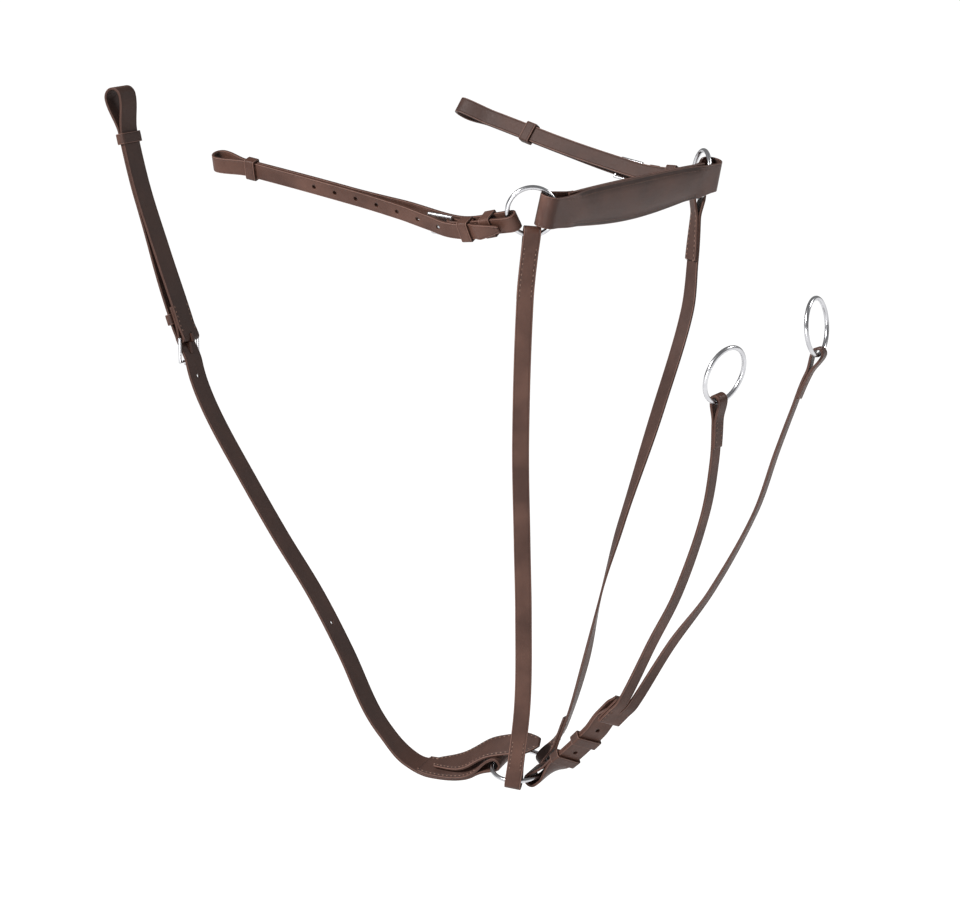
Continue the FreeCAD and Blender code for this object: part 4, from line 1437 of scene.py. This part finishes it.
@dataclass
class Martingale:
    """The strap on the chest ring, its keepers, and the slit fork with its two rein rings."""

    rings: Rings
    ring_angle: float = 337.0
    rein_angle: float = 270.0
    fork_end: float = 103.0
    fork_tail: float = 30.0
    fork_turn: float = 1.6
    fork_out: float = 5.8
    slit_at: float = 121.0
    tip_at: float = 117.0
    taper: float = 14.0
    under: float = 1.6
    sewn_under: float = 4.4
    holes: tuple = (48.0, 85.0)
    keepers: tuple = (("lower", 33.0, Body.MARTINGALE.value),
                      ("upper", 66.0, "martingale_keeper_upper"))
    stud_at: float = 109.0
    rein_lap: float = 46.0
    fork_way: Vector = field(default_factory=lambda: Vector((0.345, 0.866, -0.36)))
    spine: Spine = field(init=False)

    def __post_init__(self) -> None:
        """Draws the line of the lower strap."""
        foot, foot_way = self.rings.chest.wire_at(self.ring_angle)
        self.spine = Spine([foot] + vectors((-62, 0, -566), (-35, 0, -541), (-10, 0, -515),
                                            (12, 0, -492)), [foot_way] + [self.fork_way] * 4)

    def build(self, finishes: Finishes) -> None:
        """Builds and dresses the ring strap, its keepers and the fork."""
        spine, width = self.spine, MARTINGALE_WIDTH
        shift, middle, fold = self.rings.chest.seat(self.ring_angle, spine, 0.0, width)
        start = -shift
        flat_to = self.fork_end - 22
        main = eased((start, middle + fold), (FOLD_REACH + 4, LEVEL), (flat_to, LEVEL),
                     (self.fork_end - 2, self.sewn_under), (self.tip_at + 1, self.sewn_under),
                     (spine.length, 1.0))
        billet = eased((start, middle - fold), (FOLD_REACH + 4, -LEVEL), (flat_to, -LEVEL),
                       (self.fork_end - 2, self.under))
        stations = spine.layer(spine.length, start, main, width)
        stations += spine.turn(start, middle, fold, -1, 1, width)
        stations += spine.layer(start, self.tip_at, billet,
                                pointed(width, self.tip_at, self.taper, 0.5))
        piece = leather_run("martingale_leather", [stations], Section())
        punch(piece, [hole(spine, s, billet(s)) for s in self.holes + (self.stud_at,)])
        dress(piece, Body.MARTINGALE.value, Slot.STRAP, finishes.strap, "martingale_ring_strap")
        for name, s, body in self.keepers:
            band = keeper_band(f"martingale_keeper_band_{name}", spine, s, [main, billet], width)
            dress(band, body, Slot.STRAP, finishes.strap, f"martingale_keeper_{name}")
        self.build_fork(finishes)

    def branch(self, points: list[Vector], ways: list[Vector], side: int,
               ring: Ring) -> list[Station]:
        """One branch of the fork with its sewn fold round a rein ring.

        Args:
            points: places along the branch.
            ways: its width directions there.
            side: +1 for the left branch, -1 for the right one.
            ring: its rein ring.

        Returns:
            The branch's stations.
        """
        width = (MARTINGALE_WIDTH - SLIT) / 2
        place, tangent, across, face = self.spine.at(self.slit_at)
        start = place - face * self.fork_out + across * (side * (MARTINGALE_WIDTH + SLIT) / 4)
        end_place, end_way = ring.wire_at(self.rein_angle)
        spine = Spine([start - tangent * 4, start + tangent * 12] + points + [end_place],
                      [across, across] + ways + [end_way])
        far = spine.length
        shift, middle, fold = ring.seat(self.rein_angle, spine, far, width)
        end = far + shift
        sewn = within((far - self.rein_lap, far - FOLD_REACH + 6))
        run = eased((far - self.rein_lap - 14, 0.0), (far - FOLD_REACH, LEVEL),
                    (end, middle + fold))
        lap = eased((far - FOLD_REACH, -LEVEL), (end, middle - fold))
        stations = spine.layer(0.0, end, run, width, sewn)
        stations += spine.turn(end, middle, fold, 1, 1, width)
        stations += spine.layer(end, far - self.rein_lap, lap, width, sewn)
        return stations

    def build_fork(self, finishes: Finishes) -> None:
        """Builds the wide end of the fork, turned under, and joins its two branches to it."""
        spine, width = self.spine, MARTINGALE_WIDTH
        sewn = within((self.fork_end + 2, self.slit_at - 2))
        stations = spine.layer(self.fork_end + self.fork_tail, self.fork_end,
                               -self.fork_out + 2 * self.fork_turn, width)
        stations += spine.turn(self.fork_end, -self.fork_out + self.fork_turn, self.fork_turn,
                               -1, 1, width, 8)
        stations += spine.layer(self.fork_end, self.slit_at, -self.fork_out, width, sewn)
        piece = leather_run("fork_leather", [stations], Section())
        right = self.branch(vectors((50, -14, -428), (89, -29, -368), (128, -46, -285),
                                    (147, -60, -222)),
                            vectors((0.28, 0.92, -0.25), (0.2, 0.97, -0.15), (0.13, 0.99, 0),
                                    (0.13, 0.99, 0)), -1, self.rings.right_rein)
        left = self.branch(vectors((54, 15, -434), (88, 31, -380), (125, 48, -302),
                                   (143, 58, -240), (163, 67, -180)),
                           vectors((0.2, 0.95, -0.25), (-0.1, 0.97, -0.2), (-0.17, 0.98, 0),
                                   (-0.17, 0.98, 0), (-0.17, 0.98, 0)), 1, self.rings.left_rein)
        cut_or_join(piece, leather_run("branches", [right, left], Section()), "UNION")
        sew("fork_stitches", Body.MARTINGALE.value, finishes, [stations], -1)
        sew("branch_stitches", Body.MARTINGALE.value, finishes, [right, left], 1)
        dress(piece, Body.MARTINGALE.value, Slot.STRAP, finishes.strap, "martingale_fork")


# ---- studio --------------------------------------------------------------------------------


@dataclass
class Studio:
    """The camera, the lights and the paper floor."""

    azimuth: float = 35.0
    elevation: float = 12.0
    distance: float = 4.0
    lens: float = 159.57
    aim: Vector = field(default_factory=lambda: Vector((-0.0779, -0.1165, -0.2386)))
    floor_below: float = 0.42
    floor_size: float = 60.0

    def way(self, azimuth: float, elevation: float) -> Vector:
        """The direction out from the object at an azimuth and an elevation in degrees."""
        a, e = math.radians(azimuth), math.radians(elevation)
        return Vector((math.sin(a) * math.cos(e), -math.cos(a) * math.cos(e), math.sin(e)))

    def place_camera(self) -> None:
        """Makes the scene's camera."""
        data = bpy.data.cameras.new("camera")
        data.lens = self.lens
        data.sensor_width = 36.0
        camera = bpy.data.objects.new("camera", data)
        bpy.context.scene.collection.objects.link(camera)
        back = self.way(self.azimuth, self.elevation)
        camera.location = self.aim + back * self.distance
        camera.rotation_mode = "QUATERNION"
        camera.rotation_quaternion = (-back).to_track_quat("-Z", "Y")
        bpy.context.scene.camera = camera

    def lamp(self, name: str, azimuth: float, elevation: float, reach: float, size: float,
             watts: float) -> None:
        """Adds a square soft light that faces the object.

        Args:
            name: its name.
            azimuth: its direction round the object, in degrees.
            elevation: its height, in degrees.
            reach: its distance.
            size: its side length.
            watts: its power.
        """
        data = bpy.data.lights.new(name, "AREA")
        data.size = size
        data.energy = watts
        light = bpy.data.objects.new(name, data)
        bpy.context.scene.collection.objects.link(light)
        out = self.way(azimuth, elevation)
        light.location = self.aim + out * reach
        light.rotation_mode = "QUATERNION"
        light.rotation_quaternion = (-out).to_track_quat("-Z", "Y")

    def sun(self, name: str, azimuth: float, elevation: float, strength: float,
            spread: float) -> None:
        """Adds an even light from far away.

        Args:
            name: its name.
            azimuth: its direction round the object, in degrees.
            elevation: its height, in degrees.
            strength: its power on a square metre.
            spread: how wide it looks, in degrees.
        """
        data = bpy.data.lights.new(name, "SUN")
        data.energy = strength
        data.angle = math.radians(spread)
        light = bpy.data.objects.new(name, data)
        bpy.context.scene.collection.objects.link(light)
        light.rotation_mode = "QUATERNION"
        light.rotation_quaternion = (-self.way(azimuth, elevation)).to_track_quat("-Z", "Y")

    def build(self, finishes: Finishes, lowest: float) -> None:
        """Makes the lights, the sky and the floor.

        Args:
            finishes: the materials.
            lowest: the object's lowest height.
        """
        self.sun("key_light", -18.0, 36.0, 6.4, 14.0)
        self.lamp("side_light", 20.0, -4.0, 2.6, 0.7, 22.0)
        self.lamp("rim_light", 140.0, 35.0, 2.6, 0.6, 22.0)
        world = bpy.data.worlds.new("soft_sky")
        world.use_nodes = True
        sky = world.node_tree.nodes["Background"]
        sky.inputs["Color"].default_value = (1.0, 1.0, 1.0, 1.0)
        sky.inputs["Strength"].default_value = 0.25
        bpy.context.scene.world = world
        bpy.context.scene.view_settings.view_transform = "Standard"
        mesh = bmesh.new()
        half, height = self.floor_size / 2, lowest - self.floor_below
        corners = ((-half, -half), (half, -half), (half, half), (-half, half))
        mesh.faces.new([mesh.verts.new((x, y, height)) for x, y in corners])
        floor = finished("paper_floor", mesh)
        floor.data.materials.append(finishes.paper)
        floor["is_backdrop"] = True


def write_sizes() -> None:
    """Updates the view layer.
    """
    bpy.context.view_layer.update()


def main(frame: dict) -> None:
    """Builds every sub-assembly in order.

    Args:
        frame: the loaded frame.
    """
    logging.basicConfig(level=logging.INFO, format="%(name)s %(message)s")
    frame_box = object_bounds()
    studio = Studio()
    studio.place_camera()
    finishes = Finishes()
    rings = Rings()
    rings.build(finishes)
    CarriedOver().dress(frame["nodes"], finishes)
    NeckStraps(rings).build(finishes)
    WitherPad(rings).build(finishes)
    for strap in saddle_straps(rings):
        strap.build(finishes)
    GirthStrap(rings).build(finishes)
    Martingale(rings).build(finishes)
    studio.build(finishes, frame_box[0].z)
    write_sizes()


if __name__ == "__main__":
    main(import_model())
